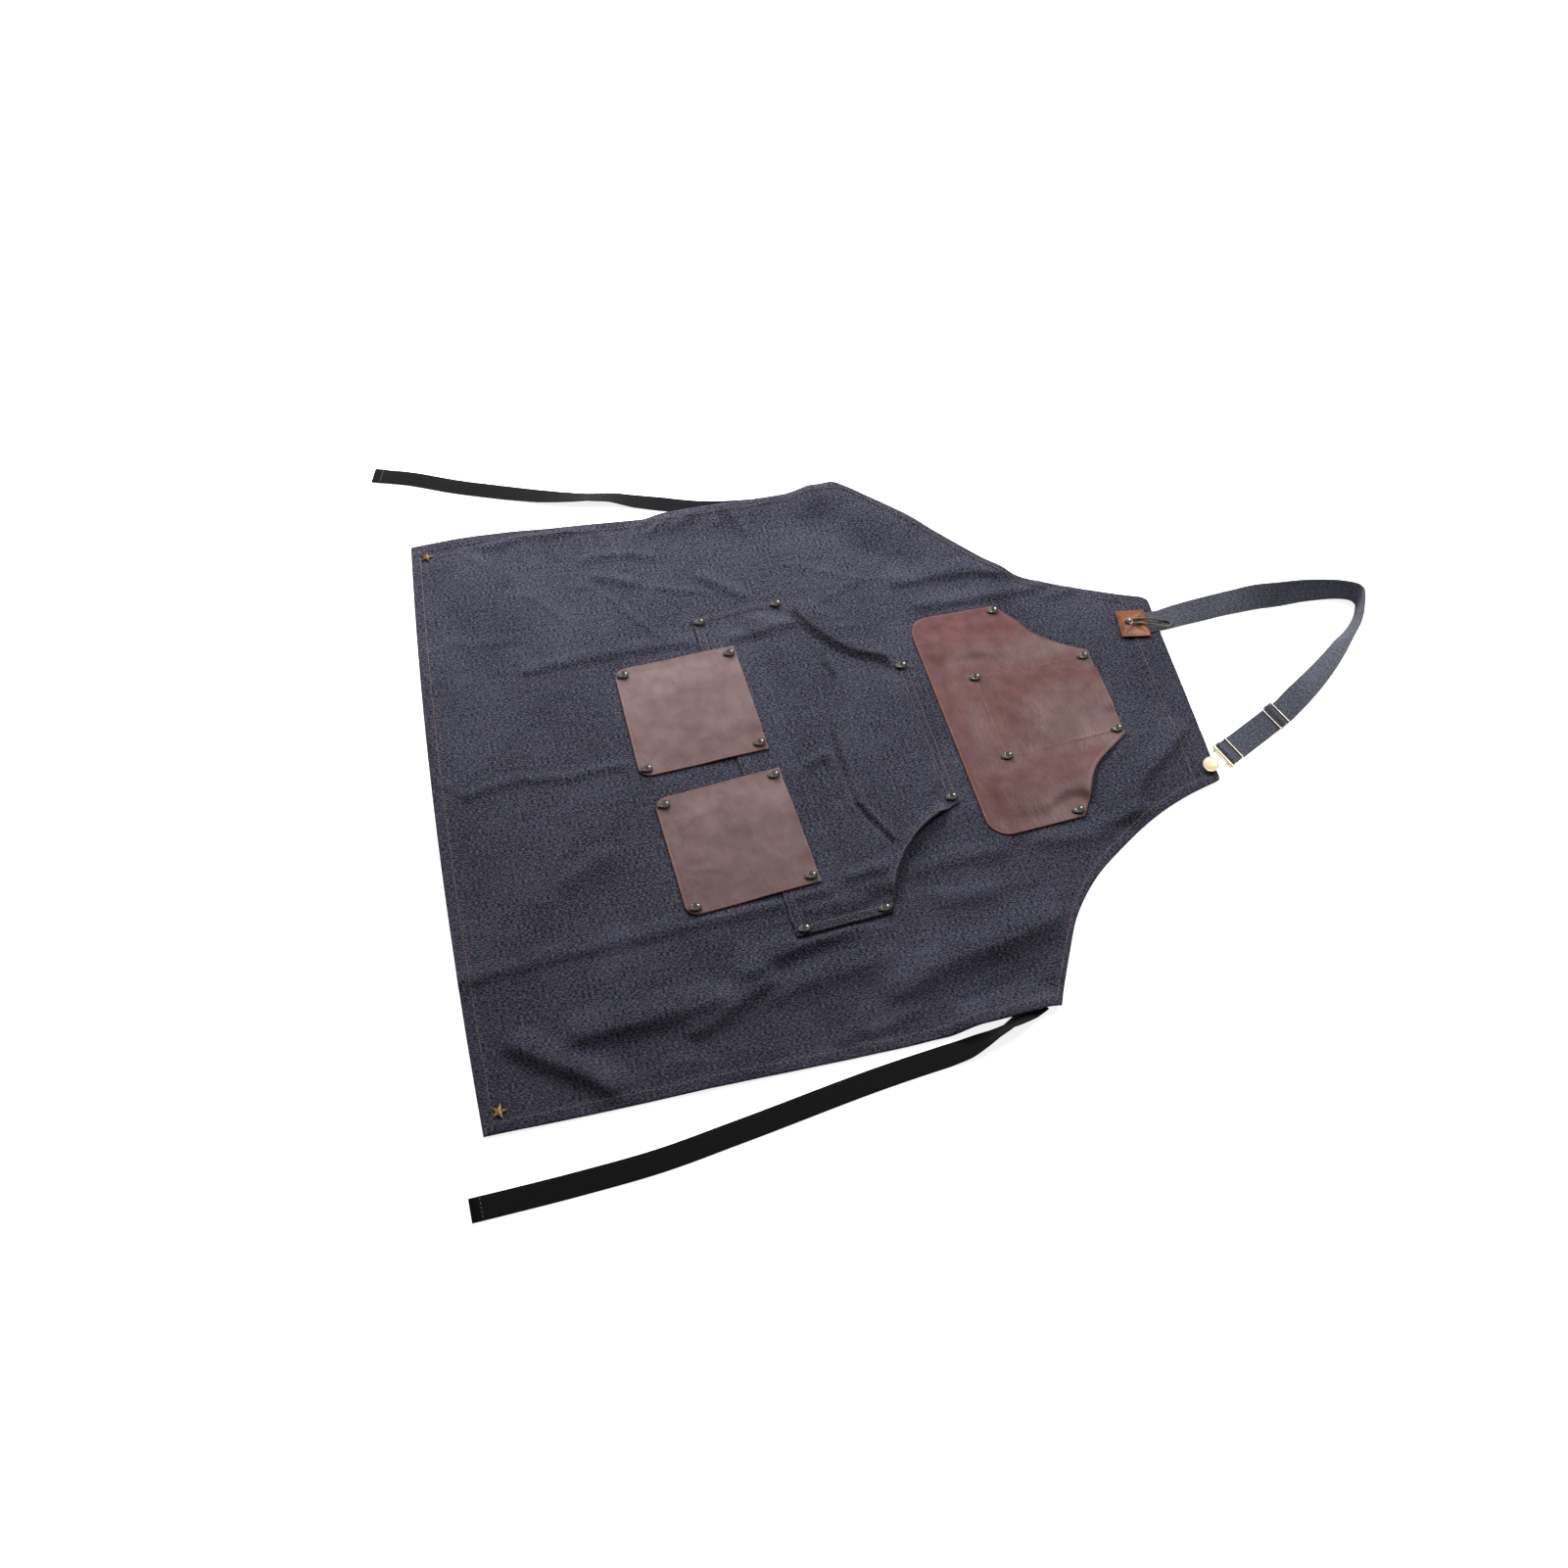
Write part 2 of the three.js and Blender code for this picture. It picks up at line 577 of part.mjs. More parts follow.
function bankedStations(table, width, wall, steps) {
  const points = table.map((row) => new THREE.Vector3(row.x, row.y, row.lift));
  const path = new THREE.CatmullRomCurve3(points, false, 'chordal');
  const count = (table.length - 1) * steps;
  const stations = [];
  for (let k = 0; k <= count; k++) {
    const t = k / count;
    const middle = path.getPoint(t);
    const heading = path.getTangent(t).setZ(0).normalize();
    const row = Math.min(Math.floor(k / steps), table.length - 2);
    const bank = degToRad(lerp(table[row].bank, table[row + 1].bank, k / steps - row));
    middle.z += Math.abs(Math.sin(bank)) * width / 2 + Math.abs(Math.cos(bank)) * wall / 2;
    const across = new THREE.Vector3(-heading.y * Math.cos(bank), heading.x * Math.cos(bank), Math.sin(bank));
    stations.push({ middle, across });
  }
  return stations;
}

function endPoint(along, height, sideways = 0) {
  const point = SLIDER_CENTRE.clone().addScaledVector(END_LINE, along);
  return point.addScaledVector(END_ACROSS, sideways).setZ(height);
}

function turnRound(along, height, radius, fromAngle, toAngle, steps) {
  const points = [];
  for (let k = 0; k <= steps; k++) {
    const angle = degToRad(lerp(fromAngle, toAngle, k / steps));
    points.push([along + radius * Math.cos(angle), height + radius * Math.sin(angle)]);
  }
  return points;
}

// Heights of the strap's layers and of the wires it threads through
const FLAT = FLOOR_GAP + STRAP / 2;
const UPPER = FLAT + STRAP + CLEAR;
const WRAP = WIRE + CLEAR + STRAP / 2;
const OVER_WRAP = WRAP + STRAP + CLEAR;
const SLIDER_BACK_Z = FLAT + STRAP / 2 + CLEAR + WIRE;
const SLIDER_FRONT_Z = UPPER + STRAP / 2 + CLEAR + WIRE;
const SLIDER_MIDDLE_Z = (SLIDER_BACK_Z + SLIDER_FRONT_Z) / 2;
const BUCKLE_TOP_Z = SLIDER_FRONT_Z;
const BUCKLE_FOOT_Z = 3.4;
const BUCKLE_MIDDLE_Z = (BUCKLE_TOP_Z + BUCKLE_FOOT_Z) / 2;

// One arm of the buckle's hook, from the foot bar to the end of the loop round the button's neck
const HOOK = [
  { along: BUCKLE_FOOT_AT, aside: 11, height: BUCKLE_FOOT_Z },
  { along: 96, aside: 9, height: 5 },
  { along: 104, aside: 6.5, height: 5 },
  { along: 109, aside: 4.6, height: 5 },
  { along: 112.6, aside: 3.4, height: 5 },
  { along: 114.2, aside: 1.4, height: 5 },
];

// Over the slider's wrapped middle bar, round the buckle's middle bar, and back under to the slider
function strapEndStations() {
  const profile = [
    [-15, FLAT], [-SLIDER_HALF, FLAT], [-6.6, FLAT + 0.3], [-4.7, 2.8],
    ...turnRound(0, SLIDER_MIDDLE_Z, OVER_WRAP, 165, 25, 6),
    [5.6, 3.4], [SLIDER_HALF, UPPER], [15, UPPER], [40, UPPER], [64, UPPER],
    [BUCKLE_TOP_AT, UPPER], [73.5, 2.9],
    ...turnRound(BUCKLE_MIDDLE_AT, BUCKLE_MIDDLE_Z, WRAP, 120, -90, 8),
    [75, 1.2], [70, FLAT], [40, FLAT], [10, FLAT], [4, 1.1],
    ...turnRound(0, SLIDER_MIDDLE_Z, WRAP, -90, -280, 8),
  ];
  return profile.map(([along, height]) => ({ middle: endPoint(along, height), across: END_ACROSS }));
}

function makeNeckStrap() {
  const stations = [...bankedStations(NECK_STRAP, STRAP_WIDTH, STRAP, STRAP_STEPS), ...strapEndStations()];
  return ribbonSolid(stations, STRAP_WIDTH, STRAP);
}

function makeTie(table) {
  return ribbonSolid(bankedStations(table, TIE_WIDTH, TIE, TIE_STEPS), TIE_WIDTH, TIE);
}

// Wire work

function solidOf(geometry) {
  const bare = geometry.clone();
  bare.deleteAttribute('normal');
  const merged = mergeVertices(bare);
  return new wasm.Manifold(new wasm.Mesh({
    numProp: 3,
    vertProperties: new Float32Array(merged.attributes.position.array),
    triVerts: new Uint32Array(merged.index.array),
  }));
}

function geometryOf(solid) {
  const mesh = solid.getMesh();
  return geometryFrom(Array.from(mesh.vertProperties), Array.from(mesh.triVerts));
}

// A round wire along straight runs, its 8-sided section mitred where the runs meet
function bentWire(points, radius, closed) {
  const sides = 8;
  const count = points.length;
  const positions = [];
  const triangles = [];
  const direction = (k) => points[(k + 1) % count].clone().sub(points[(k + count) % count]).normalize();
  const first = closed ? direction(count - 1) : direction(0);
  let right = new THREE.Vector3(0, 0, 1).cross(first).normalize();
  points.forEach((point, k) => {
    const before = k === 0 ? first : direction(k - 1);
    const after = !closed && k === count - 1 ? before : direction(k);
    const mitre = before.clone().add(after).normalize();
    const up = before.clone().cross(right);
    for (let side = 0; side < sides; side++) {
      const angle = (side / sides) * 2 * Math.PI;
      const spoke = right.clone().multiplyScalar(radius * Math.cos(angle));
      spoke.addScaledVector(up, radius * Math.sin(angle));
      spoke.addScaledVector(before, -spoke.dot(mitre) / before.dot(mitre)).add(point);
      positions.push(spoke.x, spoke.y, spoke.z);
    }
    right = right.clone().applyQuaternion(new THREE.Quaternion().setFromUnitVectors(before, after));
  });
  for (let k = 0; k < (closed ? count : count - 1); k++) {
    const next = (k + 1) % count;
    for (let side = 0; side < sides; side++) {
      const [a, b] = [k * sides + side, k * sides + (side + 1) % sides];
      const [c, d] = [next * sides + (side + 1) % sides, next * sides + side];
      triangles.push(a, b, c, a, c, d);
    }
  }
  const end = (count - 1) * sides;
  for (let side = 1; side < sides - 1 && !closed; side++) {
    triangles.push(0, side + 1, side, end, end + side, end + side + 1);
  }
  return solidOf(geometryFrom(positions, triangles));
}

function crossBar(along, height, radius, half) {
  return bentWire([endPoint(along, height, -half), endPoint(along, height, half)], radius, false);
}

function makeSlider() {
  const frame = bentWire([
    endPoint(-SLIDER_HALF, SLIDER_BACK_Z, -BAR_HALF), endPoint(-SLIDER_HALF, SLIDER_BACK_Z, BAR_HALF),
    endPoint(SLIDER_HALF, SLIDER_FRONT_Z, BAR_HALF), endPoint(SLIDER_HALF, SLIDER_FRONT_Z, -BAR_HALF),
  ], WIRE, true);
  return geometryOf(frame.add(crossBar(0, SLIDER_MIDDLE_Z, WIRE, BAR_HALF)));
}

// The buckle: a frame of three bars, and a wire hook that narrows from its foot to a loop round the button
function makeBuckle() {
  const frame = bentWire([
    endPoint(BUCKLE_FOOT_AT, BUCKLE_FOOT_Z, -BAR_HALF), endPoint(BUCKLE_TOP_AT, BUCKLE_TOP_Z, -BAR_HALF),
    endPoint(BUCKLE_TOP_AT, BUCKLE_TOP_Z, BAR_HALF), endPoint(BUCKLE_FOOT_AT, BUCKLE_FOOT_Z, BAR_HALF),
  ], WIRE, true);
  const arm = HOOK.map(({ along, aside, height }) => endPoint(along, height, -aside));
  const backArm = HOOK.map(({ along, aside, height }) => endPoint(along, height, aside)).reverse();
  const hook = bentWire([...arm, ...backArm], WIRE, false);
  const middle = crossBar(BUCKLE_MIDDLE_AT, BUCKLE_MIDDLE_Z, WIRE, BAR_HALF);
  const foot = crossBar(BUCKLE_FOOT_AT, BUCKLE_FOOT_Z, FOOT_BAR, BAR_HALF + WIRE);
  return geometryOf(frame.add(middle).add(foot).add(hook));
}

function makeButton() {
  const { neck, collar, cap, height } = BUTTON;
  const profile = [
    [0, 0], [collar, 0], [collar, 0.8], [neck, 1.1], [neck, height - 3.2],
    [cap, height - 2.6], [cap, height - 1], [cap * 0.7, height - 0.2], [0, height],
  ];
  return new THREE.LatheGeometry(profile.map(([r, z]) => new THREE.Vector2(r, z)), 16).rotateX(Math.PI / 2);
}

// Tab: a square of leather whose four fields puff up between the crossed seams
const STRAP_TOP = STRAP_ON_BIB + STRAP;
const TAB_BED = STRAP_TOP + GAP;
const TAB_TOP = TAB_BED + LEATHER + TAB_PUFF;

function makeTab() {
  const half = 4;
  const steps = 2 * half;
  const rows = [];
  const turn = degToRad(TAB.turn);
  for (let j = 0; j <= steps; j++) {
    const row = [];
    for (let i = 0; i <= steps; i++) {
      const [fromMidI, fromMidJ] = [Math.abs(i - half), Math.abs(j - half)];
      const [u, v] = [(i / steps - 0.5) * TAB.across, (j / steps - 0.5) * TAB.along];
      const point = new THREE.Vector2(TAB.x + u * Math.cos(turn) - v * Math.sin(turn),
        TAB.y + u * Math.sin(turn) + v * Math.cos(turn));
      point.puff = Math.min(Math.abs(fromMidI - fromMidJ), half - fromMidI, half - fromMidJ, 1);
      row.push(point);
    }
    rows.push(row);
  }
  return sheetSolid(rows, () => TAB_BED, (point) => LEATHER + TAB_PUFF * point.puff);
}

function makeTabStud() {
  const { radius, height } = TAB_STUD;
  const profile = [
    [0, 0], [radius, 0], [radius, 0.8],
    [radius * 0.86, height * 0.62], [radius * 0.5, height * 0.92], [0, height],
  ];
  return new THREE.LatheGeometry(profile.map(([r, z]) => new THREE.Vector2(r, z)), 12).rotateX(Math.PI / 2);
}

// The lace leaves the stud, lies over the tab's edge onto the strap, turns and comes back
function makeLace() {
  const onTab = TAB_TOP + GAP + LACE_RADIUS;
  const onStrap = STRAP_TOP + GAP + LACE_RADIUS;
  const path = new THREE.CatmullRomCurve3(LACE.map(({ x, y }) => {
    const share = smoothstep(y, LACE_DROP.from, LACE_DROP.to);
    return new THREE.Vector3(x, y, lerp(onTab, onStrap, share));
  }));
  const section = new THREE.Shape();
  section.absarc(0, 0, LACE_RADIUS, 0, 2 * Math.PI, false);
  return new THREE.ExtrudeGeometry(section, { steps: 22, curveSegments: 4, extrudePath: path });
}

// The apron put together

const panel = addPiece('apron_panel', makePanel(), 'denim');
const handPocket = addPiece('hand_pocket', makeHandPocket(), 'denim');
const chestPocket = addPiece('chest_pocket', makeChestPocket(), 'leather');
addPiece('neck_strap', makeNeckStrap(), 'denim');
addPiece('strap_tab', makeTab(), 'tabLeather');
addPiece('tab_stud', makeTabStud(), 'gunmetal').position.set(TAB_STUD.x, TAB_STUD.y, TAB_TOP + GAP);
addPiece('tab_lace', makeLace(), 'lace');
addPiece('strap_slider', makeSlider(), 'brass');
addPiece('button_buckle', makeBuckle(), 'paleGold');
addPiece('bib_button', makeButton(), 'paleGold').position.copy(endPoint(BUTTON_AT, HEM + GAP));
addPiece('waist_tie_left', makeTie(TIE_LEFT), 'webbing');
addPiece('waist_tie_right', makeTie(TIE_RIGHT), 'webbing');

const skullReach = { x: STUD_WIDTH / 2, y: STUD_LENGTH / 2 };
const starReach = { x: STAR_RADIUS, y: STAR_RADIUS };
HAND_STUDS.forEach((place, k) => {
  seatStud('hand_stud_' + (k + 1), makeSkullStud(), 'gunmetal', place, skullReach, handPocket);
});
CHEST_STUDS.forEach((place, k) => {
  seatStud('chest_stud_' + (k + 1), makeSkullStud(), 'gunmetal', place, skullReach, chestPocket);
});
for (const side of ['left', 'right']) {
  const pocket = addPiece('leather_pocket_' + side, makeLeatherPocket(side), 'leather');
  LEATHER_STUDS[side].forEach((place, k) => {
    seatStud('leather_' + side + '_stud_' + (k + 1), makeSkullStud(), 'gunmetal', place, skullReach, pocket);
  });
  seatStud('hem_star_' + side, makeStar(), 'brass', HEM_STARS[side], starReach, panel);
}

export default apron;
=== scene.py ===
# Denim work apron laid on a pale floor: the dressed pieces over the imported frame.
# Tables are millimetres in plan: x across, with +x the wearer's left, y up from the hem
# and z up from the floor.
import math

import bmesh
import bpy
import numpy as np
from mathutils import Matrix, Vector
from mathutils.bvhtree import BVHTree


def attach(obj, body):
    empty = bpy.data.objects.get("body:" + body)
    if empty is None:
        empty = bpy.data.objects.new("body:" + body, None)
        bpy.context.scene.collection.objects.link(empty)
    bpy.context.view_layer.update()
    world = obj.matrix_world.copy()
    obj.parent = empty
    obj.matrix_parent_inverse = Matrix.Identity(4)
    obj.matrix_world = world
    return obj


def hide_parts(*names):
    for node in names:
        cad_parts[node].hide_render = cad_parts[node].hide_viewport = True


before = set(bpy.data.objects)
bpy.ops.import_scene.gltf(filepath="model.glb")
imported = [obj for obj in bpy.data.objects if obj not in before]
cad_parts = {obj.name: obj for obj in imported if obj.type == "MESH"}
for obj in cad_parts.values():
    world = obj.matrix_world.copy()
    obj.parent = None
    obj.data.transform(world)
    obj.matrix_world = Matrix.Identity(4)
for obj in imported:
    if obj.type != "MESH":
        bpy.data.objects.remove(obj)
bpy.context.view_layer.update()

# Driving sizes, as in the part's source
MM = 0.001
PANEL_LENGTH = 800
GAP = 0.3
CLEAR = 0.35
FLOOR_GAP = 0.1
DENIM = 1.5
HEM = 2.6
HEM_WIDTH = 11
FACING_WIDTH = 25
HEM_STEP = 1.5
HEM_BOW = 9
SKIRT_HEIGHT = 520
BIB_HEIGHT = 290
BIB_CORNERS = {"far": 7, "near": 3.5}
POCKET_CLOTH = 1.2
POCKET_HEM = 2.4
LEATHER = 1.6
STRAP_WIDTH = 28.4
STRAP = 1.4
TIE_WIDTH = 22
TIE = 1.2
WIRE = 0.8

# Panel edges: far x, far y, near x, near y
SKIRT = [
    (-362, 11, 346, -7), (-366, 88, 347, 80), (-359, 195, 347, 200),
    (-353.5, 300, 348, 320), (-355.5, 409, 347, 430), (-357, 506, 342, 532),
]
BIB = [
    (-357, 506, 342, 532), (-306, 554, 294, 558), (-249.5, 607, 252, 583), (-211, 645, 216, 617),
    (-183, 674, 188, 657), (-162, 712, 163, 700), (-140, 760, 145, 743), (-121, 809, 133, 788),
]

# Raised edges of the panel: rise, reach on the far side and on the near side, then the ridge's points
FOLDS = [
    (5, 22, 72, (-352, 500), (-300, 556), (-290, 566)),
    (4, 22, 72, (-352, 500), (-300, 556), (-265, 592)),
    (4, 22, 72, (-352, 500), (-300, 556), (-240, 618)),
    (3, 22, 72, (-352, 500), (-300, 556), (-240, 618), (-212, 648)),
    (7, 14, 44, (-352, 300), (-353, 380), (-351, 465)),
    (10, 34, 34, (343, 452), (341, 512)),
]

# Creases of the panel, the hand pocket and the leather pockets, with the same columns
CREASES = [
    (2.7, 22, 8, (197, -8), (191, 40), (188, 90), (186, 150), (183, 200), (181, 250), (180, 300)),
    (6.0, 33, 12, (218, 364), (225, 338), (229, 312), (234, 287), (245, 262)),
    (5.8, 29, 11, (259, 270), (268, 250), (279, 231), (287, 213), (291, 201)),
    (7.0, 36, 17, (268, 214), (271, 185), (273, 150), (274, 120), (276, 96)),
    (6.6, 31, 15, (275, 36), (289, 54), (303, 75), (316, 93), (326, 103)),
    (1.0, 12, 7, (318, 194), (324, 182), (318, 168)),
    (4.2, 31, 20, (260, 378), (263, 340), (268, 300), (274, 284)),
    (2.2, 16, 9, (318, 398), (326, 372), (328, 350)),
    (1.8, 12, 8, (303, 356), (318, 342), (332, 326)),
    (1.0, 12, 9, (207, 152), (214, 136), (223, 112)),
    (0.6, 8, 5, (224, 295), (222, 250)),
    (1.0, 10, 7, (234, 380), (230, 358)),
    (7.2, 40, 24, (258, 548), (265, 520), (271, 490), (276, 452), (283, 425), (294, 398)),
    (1.6, 14, 8, (312, 530), (317, 502), (326, 472), (335, 455)),
    (1.4, 14, 9, (225, 577), (227, 548)),
    (2.9, 24, 16, (212, 507), (213, 482), (212, 463)),
    (1.0, 7, 9, (205, 556), (206, 515), (204, 470), (199, 440)),
    (2.9, 22, 15, (168, 530), (167, 500), (168, 470), (172, 440)),
    (3.0, 22, 15, (171, 641), (171, 612), (167, 585)),
    (4.2, 31, 12, (70, 770), (94, 742), (109, 717), (127, 699), (148, 687)),
    (3.6, 18, 14, (153, 694), (158, 672), (160, 650)),
    (4.0, 29, 8, (-186, 650), (-194, 626), (-197, 600), (-197, 570), (-196, 536)),
    (3.2, 20, 7, (-157, 690), (-157, 660), (-158, 610), (-158, 552)),
    (2.2, 12, 10, (-146, 726), (-145, 694)),
    (1.4, 10, 8, (-226, 612), (-224, 590)),
    (1.6, 7, 5, (-207, 530), (-212, 498), (-222, 476), (-235, 455), (-246, 434), (-250, 420)),
    (1.6, 7, 5, (-209, 490), (-200, 466), (-191, 442), (-183, 432)),
    (1.4, 6, 5, (-210, 478), (-211, 440), (-212, 408)),
    (1.6, 6, 6, (-302, 421), (-250, 419)),
    (1.8, 9, 7, (-171, 446), (-176, 432)),
    (1.8, 8, 6, (-149, 470), (-147, 452)),
    (1.1, 8, 6, (-136, 734), (-112, 731)),
    (2.7, 10, 9, (-349, 186), (-347, 162), (-349, 136), (-346, 110), (-344, 90)),
    (1.8, 8, 6, (-331, 72), (-318, 86)),
    (2.9, 16, 11, (-332, 134), (-318, 123), (-306, 114), (-290, 109)),
    (1.6, 7, 5, (-264, 112), (-264, 124), (-252, 136), (-236, 149), (-222, 158)),
    (2.0, 9, 7, (-346, 272), (-336, 260), (-324, 255), (-304, 252)),
    (1.6, 8, 6, (-346, 214), (-335, 225), (-308, 228)),
    (2.5, 11, 8, (-293, 272), (-300, 250), (-303, 228), (-307, 208), (-300, 197)),
    (2.9, 16, 10, (-257, 243), (-266, 226), (-273, 208)),
    (2.1, 8, 8, (-265, 194), (-263, 182)),
    (3.5, 18, 10, (-217, 356), (-234, 337), (-250, 319)),
    (2.0, 8, 6, (-230, 314), (-238, 290), (-250, 260)),
    (2.1, 9, 6, (-176, 256), (-192, 246), (-222, 225), (-243, 213)),
    (2.9, 20, 8, (-160, 292), (-162, 250), (-162, 205), (-160, 160), (-157, 112)),
    (1.4, 12, 8, (-202, 110), (-205, 60), (-210, 38)),
    (2.5, 9, 7, (-341, 327), (-330, 306)),
    (2.5, 9, 8, (-340, 300), (-328, 273)),
    (2.5, 12, 10, (-345, 366), (-328, 378), (-314, 381)),
    (1.4, 7, 5, (-340, 47), (-336, 35), (-320, 25)),
    (2.5, 12, 6, (-15, 188), (-15, 150), (-12, 128), (-16, 100), (-20, 80), (-18, 56), (-11, 27)),
    (1.1, 7, 5, (-11, 27), (-22, 15), (-30, 4)),
    (4.0, 16, 30, (89, 147), (97, 130), (107, 111)),
    (1.6, 14, 14, (45, 170), (62, 150)),
    (1.2, 8, 6, (127, 97), (130, 78)),
]
POCKET_CREASES = [
    (3.4, 16, 9, (-160, 416), (-159, 396), (-157, 372), (-157, 350), (-156, 336)),
    (2.9, 9, 5, (-105, 426), (-78, 430), (-50, 421), (-30, 412), (0, 408), (48, 408), (72, 405)),
    (-2.3, 4, 4, (-98, 420), (-78, 424), (-50, 415), (-30, 407), (0, 403), (48, 403), (72, 400)),
    (2.8, 8, 5, (84, 410), (112, 422), (134, 433)),
    (-2.3, 4, 4, (84, 404), (112, 416), (136, 428)),
    (2.6, 8, 5, (18, 392), (40, 394), (62, 395), (92, 399)),
    (-1.9, 4, 4, (22, 386), (42, 388), (64, 389), (92, 393)),
    (2.4, 12, 9, (22, 386), (24, 372)),
    (3.4, 14, 9, (164, 418), (164, 398), (165, 378)),
    (2.8, 12, 8, (174, 352), (175, 325), (175, 306)),
    (2.0, 10, 7, (190, 356), (192, 328)),
    (1.4, 6, 4, (-92, 470), (-80, 466), (-68, 468)),
    (1.2, 6, 4, (-62, 481), (-44, 483)),
]
LEATHER_CREASES = [
    (1.0, 26, 16, (78, 345), (83, 300), (88, 255)),
    (0.7, 8, 5, (127, 252), (122, 215)),
    (0.6, 12, 8, (60, 262), (64, 236), (74, 226)),
    (0.7, 18, 12, (-92, 300), (-98, 268), (-90, 240)),
    (0.6, 12, 9, (-46, 322), (-34, 300), (-30, 276)),
]
LEATHER_CREASE_SHARE = 0.7

# Pockets: far x, far y, near x, near y from the lowest row to the top one
HAND_SIDE = [(-193, 295.5, 216, 308.5), (-199, 350, 213, 360), (-202, 399, 210, 407)]
HAND_MOUTH = [
    (-202, 399, 210, 407), (-167, 415, 172, 422), (-135, 434, 143, 443),
    (-107, 463, 121, 470), (-88, 511, 101, 511),
]
CHEST_SIDE = [(-144, 552, 150, 553), (-145, 634, 145, 632)]
CHEST_WING = [(-145, 634, 145, 632), (-121, 648, 121, 647), (-90, 667, 88, 667), (-62, 714, 55, 713)]
CHEST_BOTTOM_Y = 528
CHEST_CORNER = 24
LEATHER_POCKETS = {
    "right": {"low": (-141, 199, 2.5, 199.5), "top": (-147, 333, -4.5, 337)},
    "left": {"low": (31.5, 207, 172, 212), "top": (20.5, 341, 161.5, 348)},
}
LEATHER_CORNER = 13
LEATHER_SEEDS = {"left": 41, "right": 53}
HAND_LIFT = 4.6
LEATHER_LIFT = 1.8
CHEST_LIFT = 2.2
HAND_RAMP = 30
LEATHER_RAMP = 38
CHEST_RAMP = 46
MOUTH_CURL = {"far": 6.0, "near": 2.4}
MOUTH_HEM = 10
PRESSED_LINE = [(-150, 352), (170, 364)]
BED_RAMP = (44, 8)
SEAM_FLAT = 4
STUD_FLAT = 9

# Studs in plan, and their skull with its holes: x, y, reach, least slope up, depth and shrink
HAND_STUDS = [(-187, 303), (-196, 392), (-82, 504), (94, 504), (204, 400), (209, 318)]
CHEST_STUDS = [(-137, 628), (137, 627), (-54, 705), (48, 705), (-50, 578), (57, 578)]
LEATHER_STUDS = {
    "right": [(-131.5, 208), (-6.5, 208.5), (-137, 325), (-13.5, 328.5)],
    "left": [(40.5, 216.5), (163, 221.5), (29, 333), (153.5, 339.5)],
}
CRANIUM = (4.75, 5.2, 5.8)
CRANIUM_AT = 1.6
JAW = {"half": 3.1, "top": 3.6, "length": 3.4, "at": -6.3}
SKULL_HOLES = [
    (-1.85, -0.35, 1.45, 0.2, 1.8, 0.7), (1.85, -0.35, 1.45, 0.2, 1.8, 0.7), (0, -2.3, 0.85, 0.1, 0.7, 0.6),
]
HEM_STARS = {"right": (-343.5, 26), "left": (326, 9.5)}
STAR_RADIUS = 8
STAR_HEIGHT = 3
STAR_RIM = 0.8
STAR_NOTCH = 0.4

# Neck strap and ties: x, y of the middle of the width, lift of the lowest edge, bank in degrees
STRAP_ON_BIB = HEM + CLEAR
NECK_STRAP = [
    (-83.5, 766, STRAP_ON_BIB, 0), (-84.5, 800, STRAP_ON_BIB, 0), (-85.5, 814, 2.7, 0),
    (-88, 832, 1.2, 6), (-90, 855, 0.1, 12), (-92.5, 889, 0.1, 14), (-92.6, 909, 0.1, 20),
    (-91.3, 930, 0.1, 35), (-88, 949, 0.1, 50), (-84.5, 988, 0.1, 69), (-81.5, 1008, 0.1, 77),
    (-77.3, 1027, 0.1, 85), (-74, 1036, 0.1, 88), (-69.3, 1043, 0.1, 90), (-63.5, 1045, 0.1, 90),
    (-56, 1042, 0.1, 88), (-42.2, 1033, 0.1, 82), (-24.7, 1017.5, 0.1, 68), (-9.4, 998, 0.1, 54),
    (6.2, 979, 0.1, 42), (20.4, 960, 0.1, 30), (34.4, 939, 0.1, 17), (48, 917, 0.1, 5),
]
TIE_LEFT = [
    (333, 514, 0.6, 12), (341, 499, 0.1, 24), (347.5, 487, 0.1, 45), (352, 475, 0.1, 58),
    (356, 460, 0.1, 48), (359.2, 446, 0.1, 29), (362, 432, 0.1, 11), (364, 412, 0.1, 0),
    (369.2, 362, 0.1, 0), (391.2, 210, 0.1, 0), (401, 137, 0.1, 0), (405, 67, 0.1, 0),
    (407.5, -27, 0.1, 0),
]
TIE_RIGHT = [
    (-342, 506, 10.0, 0), (-344.5, 490, 5.6, 0), (-347, 470, 3.6, 0), (-352, 410, 0.1, 0),
    (-361, 345, 0.1, 0), (-377.5, 296, 0.1, 0), (-386, 270, 0.1, 5), (-395, 244, 0.1, 18),
    (-399.5, 218, 0.1, 24), (-407, 190, 0.1, 14), (-415.7, 163.5, 0.1, 5), (-430, 125, 0.1, 0),
    (-450.5, 72, 0.1, 0), (-474, 21, 0.1, 0), (-487, -18, 0.1, 0),
]
TIE_END = 1.9
TIE_END_LENGTH = 11
TIE_SEAM_AT = 9.5
TIE_SEAM_HALF = 0.44
TIE_SEAM_POINTS = 20

# The strap's adjustable end: places along the straight run from the slider to the button
SLIDER_CENTRE = np.array([67.8, 881.9])
END_LINE = np.array([0.43, -0.903]) / math.hypot(0.43, 0.903)
END_ACROSS = np.array([0.95, 0.31]) / math.hypot(0.95, 0.31)
SLIDER_HALF = 8
BUCKLE_TOP_AT = 70.5
BUCKLE_MIDDLE_AT = 82.6
BUCKLE_FOOT_AT = 87.5
BUTTON_AT = 110
BAR_HALF = STRAP_WIDTH / 2 + 1.1
FOOT_BAR = 1.3
FOOT_LIP = 2.6
WIRE_BEND = 2.2

